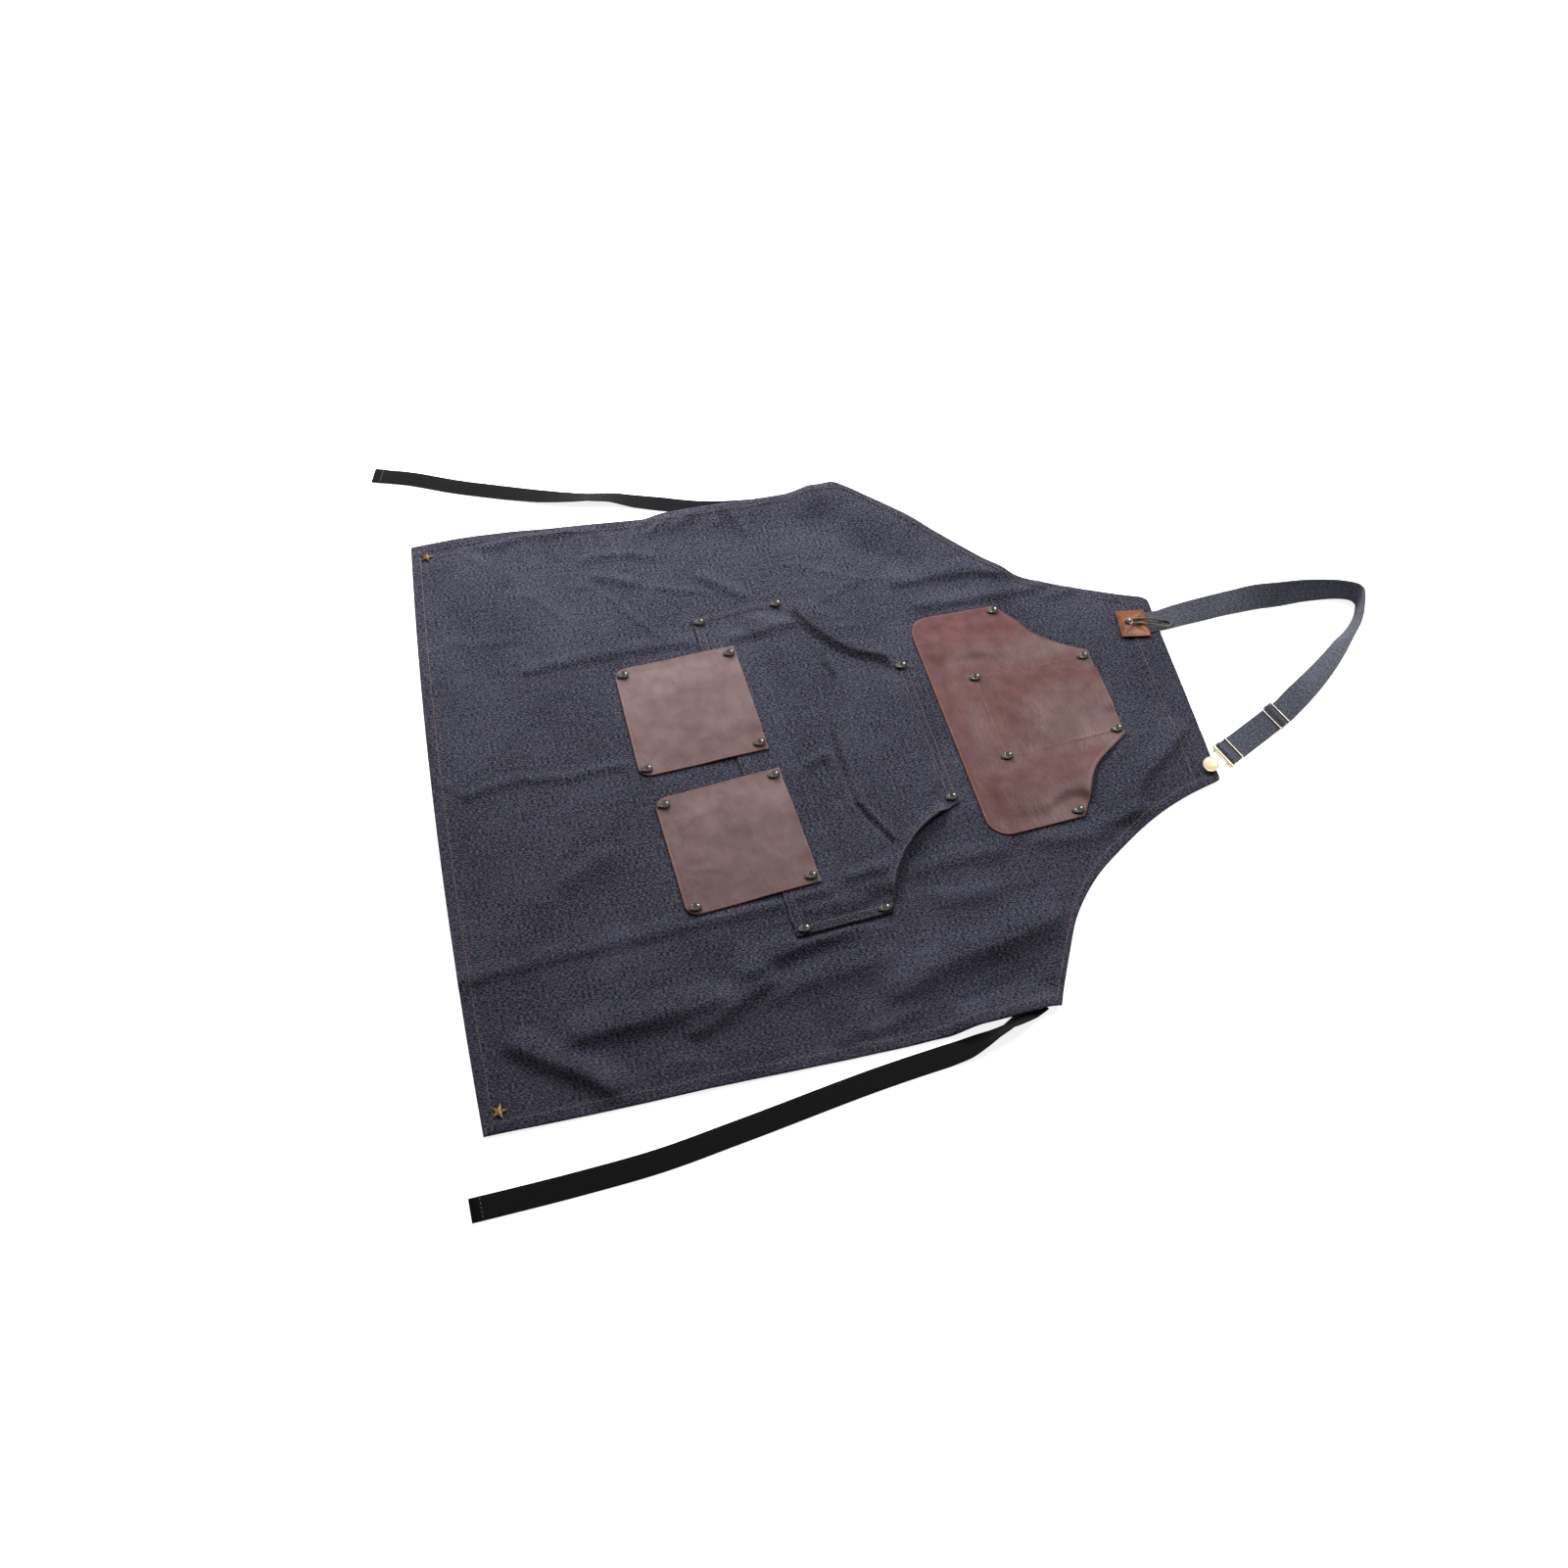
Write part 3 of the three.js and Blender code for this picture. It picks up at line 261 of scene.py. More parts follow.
# Heights of the strap's layers and of the wires it threads through
FLAT = FLOOR_GAP + STRAP / 2
UPPER = FLAT + STRAP + CLEAR
WRAP = WIRE + CLEAR + STRAP / 2
OVER_WRAP = WRAP + STRAP + CLEAR
SLIDER_BACK_Z = FLAT + STRAP / 2 + CLEAR + WIRE
SLIDER_FRONT_Z = UPPER + STRAP / 2 + CLEAR + WIRE
SLIDER_MIDDLE_Z = (SLIDER_BACK_Z + SLIDER_FRONT_Z) / 2
BUCKLE_TOP_Z = SLIDER_FRONT_Z
BUCKLE_FOOT_Z = 3.4
BUCKLE_MIDDLE_Z = (BUCKLE_TOP_Z + BUCKLE_FOOT_Z) / 2

# Hook of the buckle: along, aside and height of one arm; then the button and its cap's rises and scales
HOOK = [
    (BUCKLE_FOOT_AT, 11, BUCKLE_FOOT_Z), (96, 9, 5), (104, 6.5, 5),
    (109, 4.6, 5), (112.6, 3.4, 5), (114.2, 1.4, 5),
]
BUTTON = {
    "collar": 6.5, "collar_height": 0.8, "neck": 2.6, "neck_height": 4.0,
    "cap": 8.4, "cap_from": 4.85, "cap_slope": 0.4, "tilt": 14,
}
BUTTON_CAP = [(1.2, 1.0), (0.4, 0.96), (0.05, 0.93), (-0.3, 0.97), (0.0, 0.98), (0.25, 0.7), (0.05, 0.5)]
BUTTON_PIVOT = 3

# Tab, its stud and lace
TAB = {"x": -85.5, "y": 777, "across": 38, "along": 33, "turn": -9}
TAB_PUFF = 1.1
TAB_SEAM = 0.9
TAB_PILLOW = 0.32
TAB_STUD = {"x": -88, "y": 772, "radius": 4.5, "height": 4.2, "collar": 0.8}
STRAP_TOP = STRAP_ON_BIB + STRAP
TAB_BED = STRAP_TOP + GAP
TAB_TOP = TAB_BED + LEATHER + TAB_PUFF
LACE_RADIUS = 1
LACE = [
    (-89.5, 778.2), (-88, 788), (-85.5, 800), (-83, 811), (-81, 817), (-76.8, 820),
    (-73.2, 816.5), (-74.5, 808), (-78, 796), (-81.5, 785), (-83.6, 776.6),
]
LACE_DROP = (797, 815)

# The photograph's camera, in metres and pixels of its 1601-pixel frame
PHOTO_SIDE = 1601
FOCAL_PIXELS = 1529.8
CAMERA_AT = (0.866635, -0.340819, 1.258317)
CAMERA_RIGHT = (0.24900966, 0.96702354, 0.05347580)
CAMERA_DOWN = (0.80388903, -0.17557715, -0.56827378)
CAMERA_AHEAD = (-0.54014500, 0.18449427, -0.82110002)
SENSOR = 36

# Floor, sky and lights, in metres and watts; the far softbox stays out of the gloss
FLOOR_SIDE = 12
FLOOR_WHITE = 0.95
FLOOR_GLOW = 0.82
SKY_GLOW = 0.12
SKY_SEEN = 0.83
SKY_MIRRORED = 0.30
FAR_LIGHT = (-1.05, -0.06, 0.64)
BIB_LIGHT = (-0.54, 1.12, 1.3)
LIGHTS = [
    {"name": "far_softbox", "at": FAR_LIGHT, "size": 0.85, "power": 35, "glossy": False},
    {"name": "far_lamp", "at": FAR_LIGHT, "size": 0.34, "power": 4.5, "glossy": True},
    {"name": "bib_softbox", "at": BIB_LIGHT, "size": 0.7, "power": 22, "glossy": True},
]

# Finishes: a name, the darker and the lighter colour, then roughness
DENIMS = {
    "denim": ("indigo_denim", (0.0040, 0.0042, 0.0096), (0.0735, 0.0724, 0.1000)),
    # The strap's denim is lighter than the panel's: partly its own greyer tone, partly painted light for
    # the way the strap faces the lamps
    "strap_denim": ("worn_denim", (0.0270, 0.0290, 0.0410), (0.1000, 0.1040, 0.1290)),
}
LEATHERS = {
    # The pocket leather's paler, greyer colours are partly its own tone and partly painted sheen, standing
    # in for the far softbox's gloss that is kept out
    "pocket_leather": ("faded_leather", (0.086, 0.050, 0.049), (0.130, 0.083, 0.082), 0.44),
    "leather": ("oxblood_leather", (0.058, 0.020, 0.019), (0.099, 0.043, 0.042), 0.42),
    "tab_leather": ("tan_leather", (0.024, 0.0050, 0.0010), (0.176, 0.054, 0.015), 0.40),
}
THREADS = {
    "rust_thread": ("rust_thread", (0.125, 0.060, 0.034), (0.28, 0.144, 0.084)),
    "leather_thread": ("leather_thread", (0.250, 0.088, 0.038), (0.50, 0.210, 0.102)),
    "tan_thread": ("tan_thread", (0.105, 0.064, 0.050), (0.23, 0.150, 0.118)),
    "pale_thread": ("pale_thread", (0.105, 0.100, 0.092), (0.21, 0.200, 0.184)),
    "lace": ("waxed_lace", (0.044, 0.032, 0.018), (0.160, 0.118, 0.066)),
}
WEBBING = (0.0045, 0.0045, 0.0052), (0.0100, 0.0100, 0.0112)

# Metals: a name, the clean and the dull colour, roughness, scale of the tarnish and weight of the coat
METALS = {
    "gunmetal": ("polished_gunmetal", (0.34, 0.315, 0.280), (0.11, 0.100, 0.088), 0.24, 500.0, 0.8),
    "antique_brass": ("antique_brass", (0.50, 0.32, 0.14), (0.20, 0.125, 0.06), 0.34, 500.0, 0.0),
    "pale_gold": ("pale_gold", (0.68, 0.56, 0.37), (0.58, 0.46, 0.29), 0.40, 120.0, 0.0),
    "wire": ("pale_wire", (0.62, 0.54, 0.41), (0.50, 0.42, 0.30), 0.30, 90.0, 0.0),
}

# Seams and stitches: distances in from an edge, the stitch, the groove it draws, and points along a seam
STITCH_INSET = 10.5
FACING_SEAM = 1
LEATHER_STITCH_INSET = 2.1
HAND_INSETS = (2.2, 9.2)
STRAP_STITCH_INSET = 1.2
STITCH_PITCH = 3.4
STITCH_LENGTH = 2.5
LEATHER_PITCH = 3.0
LEATHER_STITCH = 2.2
THREAD = 0.66
SEAM_DEPTH = 0.4
SEAM_HALF = 1.3
PUCKER = 0.7
PUCKER_REACH = 7
LEATHER_SEAM_DEPTH = 0.35
LEATHER_SEAM_HALF = 0.9
CHEST_SEAM_DEPTH = 0.5
SEAM_POINTS = 240
SEAM_PAST_FACING = 14
HEM_LENGTH = 700

# Grids: steps in from an edge, the spacing between, and rows and columns
PANEL_EDGE_STEPS = np.array([0, 2, 4, 6, 8, 9.5, 10.5, 11.5, 13, 15.5, 19])
FACING_STEPS = np.array([0, 1, 2.5, 4.5, 7, 10, 14, 18, 22, 24, 25, 26, 28])
HAND_EDGE_STEPS = np.array([0, 2, 4, 6, 8, 10, 12])
LEATHER_EDGE_STEPS = np.array([0, 1.5, 3, 4.5, 6, 8])
PANEL_GRID = 3.9
HAND_ROWS = (30, 46)
HAND_COLUMNS = 96
LEATHER_ROWS = 44
LEATHER_COLUMNS = 46
CHEST_ROWS = (20, 34)
CHEST_COLUMNS = 76
TAB_COLUMNS = 41
WRAP_STEPS = 16

# Seating of studs and stars: half a skull's base, how far they sink in, and a height above all, in metres
SKULL_REACH = (4.2, 6.2)
SEATED = 0.2
LOOK_DOWN_FROM = 0.2


# Camera, floor and light

def deselect_all():
    bpy.ops.object.select_all(action="DESELECT")


def set_camera():
    deselect_all()
    bpy.ops.object.camera_add()
    camera = bpy.context.object
    turn = Matrix((Vector(CAMERA_RIGHT), -Vector(CAMERA_DOWN), -Vector(CAMERA_AHEAD))).transposed()
    camera.matrix_world = Matrix.Translation(CAMERA_AT) @ turn.to_4x4()
    camera.data.sensor_width = SENSOR
    camera.data.lens = SENSOR * FOCAL_PIXELS / PHOTO_SIDE
    camera.data.clip_start = 0.01
    bpy.context.scene.camera = camera


def add_soft_light(name, at, size, power, glossy):
    """A square light facing the middle of the apron, seen in gloss or only as soft light."""
    deselect_all()
    bpy.ops.object.light_add(type="AREA", location=at)
    light = bpy.context.object
    light.name = name
    light.rotation_euler = (-Vector(at)).to_track_quat("-Z", "Y").to_euler()
    light.data.size = size
    light.data.energy = power
    light.visible_glossy = glossy


def set_stage():
    deselect_all()
    bpy.ops.mesh.primitive_plane_add(size=FLOOR_SIDE)
    floor = bpy.context.object
    floor.name = "pale_floor"
    paint = bpy.data.materials.new("pale_paper")
    paint.use_nodes = True
    shader = paint.node_tree.nodes["Principled BSDF"]
    shader.inputs["Base Color"].default_value = (FLOOR_WHITE, FLOOR_WHITE, FLOOR_WHITE, 1)
    shader.inputs["Roughness"].default_value = 0.9
    shader.inputs["Emission Color"].default_value = (1, 1, 1, 1)
    shader.inputs["Emission Strength"].default_value = FLOOR_GLOW
    floor.data.materials.append(paint)
    world = bpy.data.worlds.new("studio")
    world.use_nodes = True
    sky = world.node_tree.nodes["Background"]
    sky.inputs["Color"].default_value = (1, 1, 1, 1)
    tree = world.node_tree
    rays = tree.nodes.new("ShaderNodeLightPath")
    seen = add_math(tree, "MULTIPLY_ADD", rays.outputs["Is Camera Ray"], SKY_SEEN, SKY_GLOW)
    mirrored = add_math(tree, "MULTIPLY_ADD", rays.outputs["Is Glossy Ray"], SKY_MIRRORED, seen)
    tree.links.new(mirrored, sky.inputs["Strength"])
    scene = bpy.context.scene
    scene.world = world
    scene.view_settings.view_transform = "Standard"
    for light in LIGHTS:
        add_soft_light(**light)


# Numbers and curves

def smoothstep(value, low, high):
    share = np.clip((np.asarray(value, float) - low) / (high - low), 0, 1)
    return share * share * (3 - 2 * share)


def to_metres(points):
    """Plan millimetres to the frame's metres; the origin is half the panel's length up from the hem."""
    placed = np.array(points, float)
    placed[..., 1] -= PANEL_LENGTH / 2
    return placed * MM


def lengths_along(points):
    return np.concatenate([[0], np.cumsum(np.linalg.norm(np.diff(points, axis=0), axis=1))])


def at_shares(points, shares):
    """Points at the given shares of a line's length."""
    run = lengths_along(points)
    wanted = np.asarray(shares) * run[-1]
    return np.stack([np.interp(wanted, run, column) for column in points.T], axis=-1)


def bell(distance, width):
    return np.exp(-(distance / width) ** 2)


def cubic(start, end, slope_in, slope_out, t):
    """A curve between two points with the given slopes at its ends."""
    return (start + slope_in * t + (3 * (end - start) - 2 * slope_in - slope_out) * t ** 2
            + (2 * (start - end) + slope_in + slope_out) * t ** 3)


def edge_line(table, side, fine=24):
    """A smooth edge through one side of a table of rows."""
    columns = (0, 1) if side == "far" else (2, 3)
    points = np.array([[row[columns[0]], row[columns[1]]] for row in table], float)
    padded = np.vstack([points[:1], points, points[-1:]])
    t = np.linspace(0, 1, fine, endpoint=False)[:, None]
    pieces = []
    for a, b, c, d in zip(padded, padded[1:], padded[2:], padded[3:]):
        pieces.append(cubic(b, c, (c - a) / 2, (d - b) / 2, t))
    return np.vstack(pieces + [points[-1:]])


def chord_line(points, per_row):
    """A smooth line through points whose speed follows the distances between them."""
    points = np.array(points, float)
    padded = np.vstack([2 * points[0] - points[1], points, 2 * points[-1] - points[-2]])
    t = np.linspace(0, 1, per_row, endpoint=False)[:, None]
    pieces = []
    for a, b, c, d in zip(padded, padded[1:], padded[2:], padded[3:]):
        before, here, after = (np.linalg.norm(v) for v in (b - a, c - b, d - c))
        slope_in = here * ((b - a) / before - (c - a) / (before + here) + (c - b) / here)
        slope_out = here * ((c - b) / here - (d - b) / (here + after) + (d - c) / after)
        pieces.append(cubic(b, c, slope_in, slope_out, t))
    return np.vstack(pieces + [points[-1:]])


def soft_noise(x, y, cell, seed):
    """Smooth noise from 0 to 1 over cells of the given size."""
    side = 256
    lattice = np.random.default_rng(seed).random((side, side))
    u, v = np.asarray(x) / cell, np.asarray(y) / cell
    i, j = np.floor(u).astype(int), np.floor(v).astype(int)
    s, t = smoothstep(u - i, 0, 1), smoothstep(v - j, 0, 1)
    low = lattice[i % side, j % side] * (1 - s) + lattice[(i + 1) % side, j % side] * s
    high = lattice[i % side, (j + 1) % side] * (1 - s) + lattice[(i + 1) % side, (j + 1) % side] * s
    return low * (1 - t) + high * t


def nearest_on_line(x, y, points):
    """Distance to a line, and the side of a line that runs up: 1 on its near side, -1 beyond it."""
    best = np.full(np.shape(x), np.inf)
    side = np.zeros(np.shape(x))
    for (x1, y1), (x2, y2) in zip(points, points[1:]):
        dx, dy = x2 - x1, y2 - y1
        along = np.clip(((x - x1) * dx + (y - y1) * dy) / (dx * dx + dy * dy), 0, 1)
        off_x, off_y = x - x1 - along * dx, y - y1 - along * dy
        distance = np.hypot(off_x, off_y)
        turn = (off_x * dy - off_y * dx) / (math.hypot(dx, dy) * np.maximum(distance, 1e-6))
        closer = distance < best
        best = np.where(closer, distance, best)
        side = np.where(closer, turn, side)
    return best, side


def ridges(x, y, table, breaks=1.0):
    """Height of ridges, each with its own reach on either side; they may break on the near side."""
    height = np.zeros(np.shape(x))
    for rise, far_reach, near_reach, *points in table:
        (start_x, start_y), (end_x, end_y) = points[0], points[-1]
        if end_y - start_y < -0.3 * abs(end_x - start_x):
            points = points[::-1]
        distance, side = nearest_on_line(x, y, points)
        reach = (far_reach + near_reach) / 2 + side * (near_reach - far_reach) / 2
        share = np.clip(distance / reach, 0, 1)
        rounded = (1 - share ** 2) ** 2
        broken = (1 - share) ** 2
        height += rise * (rounded + breaks * smoothstep(side, -0.2, 0.6) * (broken - rounded))
    return height


def outside_distance(x, y, outline):
    """Distance outside a closed outline, and nought inside it."""
    closed = list(outline) + [outline[0]]
    distance, _ = nearest_on_line(x, y, closed)
    inside = np.zeros(np.shape(x), bool)
    for (x1, y1), (x2, y2) in zip(closed, closed[1:]):
        crosses = (y1 > y) != (y2 > y)
        rise = np.where(y2 == y1, 1, y2 - y1)
        inside ^= crosses & (x < x1 + (y - y1) / rise * (x2 - x1))
    return np.where(inside, 0, distance)


# Meshes of sheets and ribbons

def mesh_piece(name, vertices, faces, flat, material):
    """A smooth-shaded mesh with its flat cloth coordinates as its UV map, all in metres."""
    mesh = bpy.data.meshes.new(name)
    mesh.from_pydata(vertices.tolist(), [], faces)
    corners = np.empty(len(mesh.loops), int)
    mesh.loops.foreach_get("vertex_index", corners)
    layer = mesh.uv_layers.new(name="flat")
    layer.data.foreach_set("uv", flat[corners].ravel())
    mesh.polygons.foreach_set("use_smooth", np.ones(len(mesh.polygons), bool))
    mesh.materials.append(material)
    mesh.update()
    piece = bpy.data.objects.new(name, mesh)
    bpy.context.collection.objects.link(piece)
    return piece


def sheet_piece(name, x, y, under, wall, material, rim_steps=4):
    """A closed sheet over a grid of plan points, with a rounded rim."""
    rows, columns = x.shape
    ring = [(0, i) for i in range(columns - 1)]
    ring += [(j, columns - 1) for j in range(rows - 1)]
    ring += [(rows - 1, i) for i in range(columns - 1, 0, -1)]
    ring += [(j, 0) for j in range(rows - 1, 0, -1)]
    ring_j, ring_i = np.array(ring).T
    outline = np.stack([x[ring_j, ring_i], y[ring_j, ring_i]], 1)
    run = np.roll(outline, -1, 0) - np.roll(outline, 1, 0)
    outward = np.stack([run[:, 1], -run[:, 0]], 1)
    outward /= np.linalg.norm(outward, axis=1)[:, None]
    half = wall[ring_j, ring_i] / 2
    inner = outline - outward * half[:, None]
    x, y = x.copy(), y.copy()
    x[ring_j, ring_i], y[ring_j, ring_i] = inner.T
    layers = [np.stack([x, y, z], -1).reshape(-1, 3) for z in (under, under + wall)]
    middle = under[ring_j, ring_i] + half
    for k in range(1, rim_steps):
        angle = math.pi * (k / rim_steps - 0.5)
        rim = inner + outward * (half * math.cos(angle))[:, None]
        layers.append(np.column_stack([rim, middle + half * math.sin(angle)]))
    vertices = np.vstack(layers)
    top = rows * columns
    index = np.arange(top).reshape(rows, columns)
    a, b, c, d = index[:-1, :-1], index[:-1, 1:], index[1:, 1:], index[1:, :-1]
    faces = np.stack([a, d, c, b], -1).reshape(-1, 4).tolist()
    faces += (np.stack([a, b, c, d], -1).reshape(-1, 4) + top).tolist()
    flat_ring = ring_j * columns + ring_i
    count = len(ring)
    rims = [2 * top + k * count + np.arange(count) for k in range(rim_steps - 1)]
    strips = [flat_ring] + rims + [flat_ring + top]
    for low, high in zip(strips, strips[1:]):
        faces += np.stack([low, np.roll(low, -1), np.roll(high, -1), high], -1).tolist()
    return mesh_piece(name, to_metres(vertices), faces, vertices[:, :2] * MM, material)


def banked_stations(table, width, wall, per_row=8):
    """Middles and width directions of a ribbon that lies or banks as its table says."""
    line = chord_line([row[:3] for row in table], per_row)
    banks = [row[3] for row in table]
    bank = np.radians(np.interp(np.arange(len(line)) / per_row, np.arange(len(table)), banks))
    heading = np.gradient(line, axis=0)[:, :2]
    heading /= np.linalg.norm(heading, axis=1)[:, None]
    line[:, 2] += np.abs(np.sin(bank)) * width / 2 + np.abs(np.cos(bank)) * wall / 2
    across = np.column_stack([-heading[:, 1] * np.cos(bank), heading[:, 0] * np.cos(bank), np.sin(bank)])
    return line, across


def ribbon_faces_up(middles, across):
    ahead = np.gradient(middles, axis=0)
    face = np.cross(ahead, across)
    return face / np.linalg.norm(face, axis=1)[:, None]


def ribbon_piece(name, middles, across, width, wall, material, end_wall=None, end_length=0):
    """A closed ribbon with rounded edges; its last stretch may be folded double."""
    face = ribbon_faces_up(middles, across)
    run = lengths_along(middles)
    thick = np.full(len(run), wall)
    if end_wall:
        fold = run[-1] - end_length
        thick = wall + (end_wall - wall) * smoothstep(run, fold - HEM_STEP, fold)
    edge_angles = np.radians([-60, -20, 20, 60])
    flat_steps = np.linspace(-1, 1, 7)
    section = [(u, 0, 1) for u in flat_steps]
    section += [(1, math.cos(a), math.sin(a)) for a in edge_angles[::-1]]
    section += [(u, 0, -1) for u in flat_steps[::-1]]
    section += [(-1, -math.cos(a), math.sin(a)) for a in edge_angles]
    rings = []
    flats = []
    for share, swell, rise in section:
        half = thick / 2
        aside = share * (width / 2 - wall / 2) + swell * wall / 2
        rings.append(middles + across * np.broadcast_to(aside, half.shape)[:, None]
                     + face * (rise * half + half - wall / 2)[:, None])
        flats.append(np.column_stack([np.broadcast_to(aside, half.shape), run]))
    vertices = np.stack(rings, 1).reshape(-1, 3)
    flat = np.stack(flats, 1).reshape(-1, 2) * MM
    sides = len(section)
    index = np.arange(len(vertices)).reshape(-1, sides)
    a, b = index[:-1], np.roll(index, -1, 1)[:-1]
    c, d = np.roll(index, -1, 1)[1:], index[1:]
    faces = np.stack([a, d, c, b], -1).reshape(-1, 4).tolist()
    faces += [index[0].tolist(), index[-1][::-1].tolist()]
    return mesh_piece(name, to_metres(vertices), faces, flat, material)


# Shader node groups shared by the finishes

def new_group(name, inputs, outputs):
    group = bpy.data.node_groups.new(name, "ShaderNodeTree")
    for socket, kind, value in inputs:
        made = group.interface.new_socket(socket, in_out="INPUT", socket_type=kind)
        if value is not None:
            made.default_value = value
    for socket in outputs:
        group.interface.new_socket(socket, in_out="OUTPUT", socket_type="NodeSocketFloat")
    return group, group.nodes.new("NodeGroupInput"), group.nodes.new("NodeGroupOutput")


def add_node(tree, kind, links=(), **settings):
    """A node with its settings; links pair an input's name or number with an output or a value."""
    made = tree.nodes.new(kind)
    for key, value in settings.items():
        setattr(made, key, value)
    for socket, source in links:
        if isinstance(source, bpy.types.NodeSocket):
            tree.links.new(source, made.inputs[socket])
        else:
            made.inputs[socket].default_value = source
    return made


def add_math(tree, operation, first, second=0.0, third=0.0):
    links = [(0, first), (1, second), (2, third)]
    return add_node(tree, "ShaderNodeMath", links, operation=operation).outputs[0]


def scaled(tree, vector, scale):
    return add_node(tree, "ShaderNodeMapping", [("Vector", vector), ("Scale", scale)]).outputs[0]


def noise(tree, vector, scale, detail=2.0):
    links = [("Vector", vector), ("Scale", scale), ("Detail", detail)]
    return add_node(tree, "ShaderNodeTexNoise", links).outputs["Fac"]


def make_twill_group():
    """Twill weave: slanting ribs, streaks along the warp, flecks of undyed yarn and broad fading."""
    inputs = [
        ("Flat", "NodeSocketVector", None), ("Ribs", "NodeSocketFloat", 900.0),
        ("Slant", "NodeSocketFloat", 0.6), ("Flecks", "NodeSocketFloat", 620.0),
    ]
    group, given, result = new_group("twill_weave", inputs, ["Rib", "Streak", "Fleck", "Fade", "Height"])
    flat = given.outputs["Flat"]
    parts = add_node(group, "ShaderNodeSeparateXYZ", [(0, flat)]).outputs
    slanted = add_math(group, "MULTIPLY_ADD", parts["Y"], given.outputs["Slant"], parts["X"])
    phase = add_math(group, "MULTIPLY", slanted, given.outputs["Ribs"])
    wave = add_math(group, "SINE", add_math(group, "MULTIPLY", phase, 2 * math.pi))
    rib = add_math(group, "MULTIPLY_ADD", wave, 0.5, 0.5)
    streak = noise(group, scaled(group, flat, (430, 32, 1)), 1.0, 3.0)
    fleck = noise(group, scaled(group, flat, (1, 0.38, 1)), given.outputs["Flecks"], 3.0)
    fade = noise(group, flat, 11.0, 2.0)
    bumpy = add_math(group, "MULTIPLY_ADD", fleck, 1.2, rib)
    outputs = {"Rib": rib, "Streak": streak, "Fleck": fleck, "Fade": fade, "Height": bumpy}
    for socket, source in outputs.items():
        group.links.new(source, result.inputs[socket])
    return group


def make_leather_group():
    """Leather: fine pebbled grain, small drawn wrinkles and cloudy dye."""
    inputs = [("Flat", "NodeSocketVector", None), ("Pebbles", "NodeSocketFloat", 900.0)]
    group, given, result = new_group("leather_grain", inputs, ["Cloud", "Mottle", "Height"])
    flat = given.outputs["Flat"]
    bent = noise(group, flat, 60.0, 2.0)
    warped = add_node(group, "ShaderNodeVectorMath", [(0, bent), (1, (0.012, 0.012, 0)), (2, flat)],
                      operation="MULTIPLY_ADD").outputs[0]
    links = [("Vector", flat), ("Scale", given.outputs["Pebbles"])]
    pebble = add_node(group, "ShaderNodeTexVoronoi", links, feature="SMOOTH_F1").outputs["Distance"]
    drawn = noise(group, scaled(group, warped, (55, 150, 1)), 1.0, 4.0)
    ridge = add_math(group, "ABSOLUTE", add_math(group, "SUBTRACT", drawn, 0.5))
    wrinkle = add_math(group, "MINIMUM", add_math(group, "MULTIPLY", ridge, 7.0), 1.0)
    cloud = noise(group, flat, 17.0, 2.0)
    mottle = noise(group, warped, 70.0, 2.0)
    lumps = add_math(group, "MULTIPLY_ADD", pebble, 0.35, wrinkle)
    for socket, source in {"Cloud": cloud, "Mottle": mottle, "Height": lumps}.items():
        group.links.new(source, result.inputs[socket])
    return group


def make_tarnish_group():
    """Handled metal: soft clouds of tarnish and fine scuffs."""
    inputs = [("Place", "NodeSocketVector", None), ("Clouds", "NodeSocketFloat", 500.0)]
    group, given, result = new_group("metal_tarnish", inputs, ["Tarnish", "Scuff"])
    cloud = noise(group, given.outputs["Place"], 1.0, 3.0)
    group.links.new(given.outputs["Clouds"], cloud.node.inputs["Scale"])
    scuff = noise(group, scaled(group, given.outputs["Place"], (3000, 900, 3000)), 1.0, 4.0)
    group.links.new(cloud, result.inputs["Tarnish"])
    group.links.new(scuff, result.inputs["Scuff"])
    return group


# Finishes

def new_finish(name, group, place, **values):
    """A material with its node tree, its shader's inputs and the outputs of one placed effect group."""
    material = bpy.data.materials.new(name)
    material.use_nodes = True
    tree = material.node_tree
    shader = tree.nodes["Principled BSDF"].inputs
    effect = tree.nodes.new("ShaderNodeGroup")
    effect.node_tree = group
    tree.links.new(tree.nodes.new("ShaderNodeTexCoord").outputs[place], effect.inputs[0])
    for socket, value in values.items():
        effect.inputs[socket].default_value = value
    return material, tree, shader, effect.outputs


def blend_colours(tree, mask, low, high):
    mix = add_node(tree, "ShaderNodeMix", [("Factor", mask)], data_type="RGBA")
    for socket, colour in (("A", low), ("B", high)):
        [s for s in mix.inputs if s.name == socket and s.type == "RGBA"][0].default_value = (*colour, 1)
    return [s for s in mix.outputs if s.type == "RGBA"][0]


def map_range(tree, value, from_low, from_high, to_low, to_high):
    ends = {"From Min": from_low, "From Max": from_high, "To Min": to_low, "To Max": to_high}
    return add_node(tree, "ShaderNodeMapRange", [("Value", value), *ends.items()]).outputs["Result"]


def bump(tree, shader, height, strength, depth):
    links = [("Height", height), ("Strength", strength), ("Distance", depth)]
    node = add_node(tree, "ShaderNodeBump", links)
    tree.links.new(node.outputs["Normal"], shader["Normal"])


